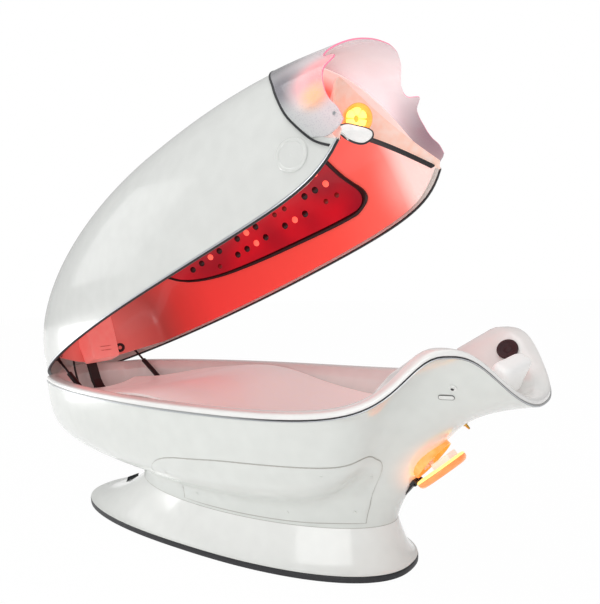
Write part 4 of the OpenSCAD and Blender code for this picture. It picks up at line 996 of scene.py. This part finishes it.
def brow_pt(y, v, o):
    a, b = arch_pt(y), brow_top(y * 0.975)
    k = 1 - (abs(y) / 352) ** 2
    return opened((mix(a[0], b[0], v) - 58 * sin(180 * v ** 0.8) * k - o, mix(y, y * 0.975, v), mix(a[2], b[2], v)))


BROW_T = 5
BROW_Y = [-346 + 692 * j / 120 for j in range(121)]
sheet("brow_moulding", *([[brow_pt(y, v, o) for y in BROW_Y] for v in steps(40)] for o in (0, BROW_T)),
      "canopy", BROW, "brow_panel", slot="interior_pink")
strip("arch_line", [[opened((arch_pt(y)[0] + u, y, arch_pt(y)[2] + w)) for u, w in (
    (-10, -9.5), (3, -9.5), (6, -8.2), (7, -5.5), (6.4, -2.6), (4, -1), (-10, -1))]
    for y in (-322 + 644 * j / 120 for j in range(121))], "canopy", RUBBER, "arch_seal", slot="black_rubber")


def lip_pt(f, v, o):
    y = mix(-298, -24, f)
    p = arch_pt(y)
    drop = 44 * sin(180 * f ** 0.8) ** 0.7
    low = max(p[2] - 6 - drop, 721 - max(0, 255 - abs(y)))
    return opened((p[0] + 8 + 0.42 * drop * v + o, y, mix(p[2] + 6, low, v)))


LIP_F = [0.001 + 0.998 * j / 80 for j in range(81)]
sheet("face_lip_moulding", [[lip_pt(f, v, 4 - 2.5 * abs(2 * v - 1) ** 6) for f in LIP_F] for v in steps(14)],
      [[lip_pt(f, v, 0) for f in LIP_F] for v in steps(14)], "canopy", WHITE, "face_lip", slot="gel_white")


# Rolled end of the lip beside the face opening: places along the arch, out from it and up from it
LOBE = ((-300, 4, 7), (-276, 10, -6), (-240, 22, -38), (-190, 34, -62), (-150, 48, -73), (-116, 66, -66),
        (-100, 72, -48), (-108, 66, -32), (-150, 50, -16), (-206, 34, 0), (-258, 18, 9), (-288, 8, 12))


def lobe_rim(t):
    """Point of the lobe's smooth closed edge, t from 0 to 1."""
    k = len(LOBE)
    i, f = int(t * k) % k, t * k % 1
    q = [Vector(LOBE[(i + j - 1) % k]) for j in range(4)]
    y, out, up = (q[1] + 0.5 * f * (q[2] - q[0] + f * (2 * q[0] - 5 * q[1] + 4 * q[2] - q[3]
                                                      + f * (3 * (q[1] - q[2]) + q[3] - q[0]))))
    p = arch_pt(y)
    return Vector(opened((p[0] + out, y, p[2] + up)))


def lobe(n=96, m=12):
    """White rolled lobe with a round edge, brightened by a painted glow, and the piping that runs along it."""
    edge = [lobe_rim(j / n) for j in range(n)]
    centre = sum(edge, Vector()) / n
    toward = Vector((0.40, -0.80, 0.38)).normalized()
    rows = []
    for side, thick in ((1, 15.0), (-1, 3.0)):
        shares = [0.003 + 0.997 * i / m for i in range(m + 1)]
        for r in shares if side == 1 else reversed(shares[:-1]):
            rows.append([centre + (e - centre) * r + toward * side * thick * (1 - r ** 3.2) for e in edge])
    strip("lip_lobe", rows, "canopy", LIT_WHITE, sharp=60, slot="gel_white")
    path = [lobe_rim(j / 110) for j in range(111)]
    strip("lip_piping", tube_rows(path, PIPING_R, 12, (0.3, 0.2, 0.93), round_ends=True), "canopy", RUBBER,
          slot="black_rubber")


lobe()


# ---- Face lamp: an amber bowl on the brow, turned to the near side, with six lit petals

AT_FACE = standing((AT_LAMP @ move((0, 0, 36))).to_translation(), (0.78, -0.58, -0.20))
lathe("lamp_bowl", [(0.1, -60), (22, -56), (36, -42), (44, -20), (48, 2), (49.5, 10), (49, 13.5), (46.5, 14),
                    (45, 10), (43, 0), (38, -10), (26, -14), (0.1, -15)],
      AT_FACE, "canopy", LAMP_BOWL, "lamp_housing", slot="lamp_orange")


def petal_rows(k, n=36):
    """One rounded segment, thinner toward its edge."""
    edge = []
    for j in range(n):
        side, f = divmod(j * 4 / n, 1)
        r, a = ((mix(11, 34, f), 5), (34, mix(5, 55, f)), (mix(34, 11, f), 55), (11, mix(55, 5, f)))[int(side)]
        r += 2.2 * sin((a - 5) * 3.6) * (r > 30)
        edge.append(Vector((r * cos(60 * k + a), r * sin(60 * k + a), 0)))
    mid = sum(edge, Vector()) / n
    return [[AT_FACE @ (mid + (e - mid) * share + Vector((0, 0, h))) for e in edge]
            for share, h in ((0.94, -14), (1.0, -4), (0.97, -0.5), (0.86, 1.6), (0.5, 3.2), (0.02, 3.8))]


stacks("lamp_petals", [petal_rows(k) for k in range(6)], "canopy", LAMP_FACE, "lamp_lens", slot="lamp_yellow")


# ---- Aroma lid: a thick amber dish with a painted glow and a band of painted light on its edge, and the pale holder, brightened by a painted glow, that dips into the cup

lathe("aroma_lid", [(0.1, 4.5), (78, 4.5), (84, 6), (88, 10), (89, 15), (87.5, 22), (82, 28), (76, 30.5), (72, 30.5),
                    (71, 27), (70, 10), (68, 8.5), (0.1, 8.5)], AT_LID, "door", LID, "aroma_door", slot="amber")
# Painted light: a bright yellow band round the lid's edge
lathe("lid_light", [(79, 3.6), (84.5, 4.4), (88.6, 8), (89.3, 10.4), (88.4, 11), (79, 5)], AT_LID, "door", LAMP_FACE,
      slot="lamp_yellow")


def lid_holder():
    """Block under the lid, with small chamfers, clear of the bulb and the cartridge when the lid is shut."""
    x0, x1, half, low, high, cut = -62, 6, 33, -14.5, 5, 2
    rows = [[AT_LID @ Vector((x, y, z)) for x, y in (
        (x0 + e, half - c), (x0 + c, half - e), (x1 - c, half - e), (x1 - e, half - c),
        (x1 - e, c - half), (x1 - c, e - half), (x0 + c, e - half), (x0 + e, c - half))]
        for z, e, c in ((low, cut, 2 * cut), (low + cut, 0, cut), (high, 0, cut))]
    strip("lid_holder", rows, "door", HOLDER, slot="grey_plastic")
    rows = [[AT_LID @ (LID_PIN + Vector((u, y, w))) for u, w in ((6.5 * cos(t), 6.5 * sin(t)) for t in turns(32))]
            for y in (-15, 15)]
    strip("lid_knuckle", rows, "door", BLACK_METAL, slot="grey_plastic")


lid_holder()


# ---- Hinge cover: a drafted box with round edges and a painted pink glow, and two vent lines in its face, darker salmon as painted shade of their grooves

COVER_Z, COVER_FACE = 570, (-736, -722)  # lower end, and where its face stands there and at the roof


def roof_z(x, y):
    """Height of the closed lining over a place."""
    d = LINER_IN + LINER_T
    a = math.degrees(math.acos(clamp(abs(y) / roof_w(x, d)) ** (SECTION / 2)))
    return roof_pt(x, a, d)[2]


def cover_row(f, inset=0.0):
    """Ring of the cover at a share f of its height, narrower toward its lower end."""
    half, x0, x1 = mix(72, 80, f) - inset, -815 + inset, mix(*COVER_FACE, f) - inset
    out = []
    for t in turns(96):
        x = (x0 + x1) / 2 + (x1 - x0) / 2 * power(cos(t), 0.2)
        y = half * power(sin(t), 0.2)
        out.append(opened((x, y, mix(COVER_Z, roof_z(x, y) - 1, f))))
    return out


strip("hinge_moulding", [cover_row(0, 9), cover_row(0.004, 4), cover_row(0.018, 1.2)]
      + [cover_row(f) for f in (0.045, 0.2, 0.4, 0.6, 0.8, 1.0)],
      "canopy", PINK_COVER, "hinge_cover", slot="interior_pink")


def vent_rows(z):
    """A thin raised line across the cover's face, darker salmon: painted shade of a vent groove."""
    x = mix(*COVER_FACE, (z - COVER_Z) / 150)
    return [[opened((x + o, y, z + w)) for o, w in ((-2, -1.6), (0.5, -1.6), (0.5, 1.6), (-2, 1.6))]
            for y in (-26, 30)]


stacks("cover_vents", [vent_rows(z) for z in (604, 622)], "canopy", VENT, slot="interior_pink")


# ---- Push button: a white cap with a small dark mark, and the thin line round the plate below it

lathe("button_cap", [(6.2, -6), (6.2, 4.6), (5.4, 5.7), (0.05, 5.9)], AT_BUTTON, "button", WHITE, "rim_button",
      sides=48, slot="gel_white")
lathe("button_mark", [(4.6, 5.2), (4.6, 6.3), (4.0, 6.7), (0.05, 6.8)], AT_BUTTON, "button", RUBBER, sides=48,
      slot="black_rubber")


def plate_line():
    """Fine dark bead round the plate's rounded outline, on the hull under its edge."""
    half_l, half_w, corner = 15, 1.5, 6.4
    p, n = on_hull(*PLATE_PLACE)
    u = Vector((0, 0, 1)).cross(n).normalized()
    w = n.cross(u)
    rows = []
    for a in turns(72):
        x = half_l * (1 if cos(a) > 0 else -1) + corner * cos(a)
        y = half_w * (1 if sin(a) > 0 else -1) + corner * sin(a)
        out = (cos(a) * u + sin(a) * w).normalized()
        q = p + x * u + y * w
        rows.append([tuple(q + r * out + h * n) for r, h in ((-0.5, -1.5), (-0.5, 3.1), (0.9, 3.1), (0.9, -1.5))])
    band("plate_line", rows, "base", PLATE_LINE, slot="grey_plastic")


plate_line()


# ---- Pillow, in its sloped place against the head wall

AT_PILLOW = move((1098, 0, 649.2)) @ tilt(-65)


def pillow_pt(t, p):
    c, s = power(cos(t), 0.26), power(sin(t), 0.26)
    pinch = 0.965 + 0.035 * abs(sin(2 * t)) ** 0.7
    r = cos(p) ** 0.32 * (1 - 0.012 * math.exp(-(p / 3.2) ** 2))
    return AT_PILLOW @ Vector((PILLOW[1] / 2 * c * r * pinch, PILLOW[0] / 2 * s * r * pinch,
                               PILLOW[2] / 2 * power(sin(p), 0.62) * (0.96 + 0.04 * cos(t) ** 2)))


PILLOW_ROWS = [[pillow_pt(t, -88 + 176 * f) for t in turns(120)] for f in steps(48)]
cushion = strip("head_cushion", PILLOW_ROWS, "base", PILLOW_SKIN, "head_pillow", sharp=180, slot="pillow_white")


# ---- Canopy cable

CABLE = [(-806, -88, 424), (-808, -88, 440), (-812, -88, 458), (-818, -89, 478), (-825, -91, 500), (-831, -93, 524),
         (-835, -96, 548), (-837, -99, 572), (-837, -102, 598), (-834, -105, 622), (-828, -107, 646),
         (-819, -108.5, 666), (-812.6, -109.4, 676.2)]
lead = strip("canopy_lead", tube_rows(CABLE, CABLE_R, 16, (0.13, 0.97, 0.2)), "base", RUBBER, "canopy_cable",
             slot="black_rubber")
lead.parent = None
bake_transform(lead)


# ---- Finishes of the nodes that stay

FINISHES = (
    (GREY_METAL, "base_pan pedestal_frame"), (ZINC, "levelling_feet power_supply"), (HULL, "panel_screws"),
    (GREY_PLASTIC, "bed_mounts circulation_blower power_inlet"), (MAROON, "speaker_near speaker_far"),
    (BOARD, "control_unit"), (WHITE, "button_bezel control_plate"), (SHELL, "emblem_boss"), (BULB, "aroma_bulb"),
    (LAMP_BOWL, "aroma_cup"), (PALE_PLASTIC, "aroma_cartridge"), (BRASS, "air_nozzle"), (RUBBER, "vent_grommets"),
    (BLACK_METAL, "hinge_bracket strut_cylinder_near strut_cylinder_far strut_rod_near strut_rod_far aroma_hinge "
                  "hinge_arms"),
    (STEEL, "vibration_motors bracket_bolts strut_clevises visor_screws hinge_pin strut_studs"),
)
for finish, names in FINISHES:
    for node_name in names.split():
        mesh = nodes[node_name].data
        mesh.materials.clear()
        mesh.materials.append(finish)


# ---- Floor, backdrop and light

def backdrop():
    """White seamless paper: the camera and reflections see plain white."""
    bm = bmesh.new()
    bmesh.ops.create_grid(bm, x_segments=1, y_segments=1, size=14)
    mesh = bpy.data.meshes.new("studio_floor")
    bm.to_mesh(mesh)
    bm.free()
    floor = placed("studio_floor", mesh)
    floor.location.z = -0.0005
    paper, shader = finish_of("seamless_paper", "#FFFFFF", 0.9)
    light = put(paper, "ShaderNodeLightPath")
    shown = put(paper, "ShaderNodeEmission", {"Color": hexed("#FFFFFF"), "Strength": 1.0})
    mirrored = maths(paper, "ADD", light.outputs["Is Glossy Ray"], light.outputs["Is Transmission Ray"],
                     use_clamp=True)
    # The camera sees mostly plain white, with a share of the lit paper that keeps the shadow
    direct = maths(paper, "MULTIPLY", light.outputs["Is Camera Ray"], 0.985)
    seen = maths(paper, "ADD", mirrored, direct, use_clamp=True)
    both = put(paper, "ShaderNodeMixShader", {0: seen, 1: shader.outputs[0], 2: shown.outputs[0]})
    paper.node_tree.links.new(both.outputs[0], paper.node_tree.nodes["Material Output"].inputs["Surface"])
    mesh.materials.append(paper)


backdrop()


def studio_light(name, place, target, size, watts):
    lamp = bpy.data.lights.new(name, "AREA")
    lamp.shape, lamp.size, lamp.size_y = "RECTANGLE", *size
    lamp.energy = watts
    obj = placed(name, lamp)
    obj.location = place
    obj.rotation_euler = (Vector(target) - Vector(place)).to_track_quat("-Z", "Y").to_euler()


studio_light("overhead", (0.4, -0.9, 4.2), (0.1, 0, 0.6), (3.4, 2.4), 48)
studio_light("front", (1.2, -3.8, 1.2), (0.1, 0, 0.4), (2.6, 2.0), 44)
studio_light("foot_low", (-2.6, -1.1, 0.3), (-0.75, -0.1, 0.3), (1.2, 0.6), 9)
studio_light("foot_side", (-3.4, -1.6, 2.2), (-0.2, 0, 0.8), (2.0, 2.0), 10)

# The camera sees a brighter white than the one that lights the part
world = bpy.data.worlds.new("studio")
scene.world = world
world.use_nodes = True
tree = world.node_tree
back = tree.nodes["Background"]
back.inputs["Color"].default_value = hexed("#FFFFFF")
back.inputs["Strength"].default_value = 0.5
bright = put(world, "ShaderNodeBackground", {"Color": hexed("#FFFFFF"), "Strength": 1.0})
ray = put(world, "ShaderNodeLightPath")
chosen = put(world, "ShaderNodeMixShader", {0: ray.outputs["Is Camera Ray"], 1: back.outputs[0],
                                            2: bright.outputs[0]})
tree.links.new(chosen.outputs[0], tree.nodes["World Output"].inputs["Surface"])
scene.view_settings.view_transform = "Standard"
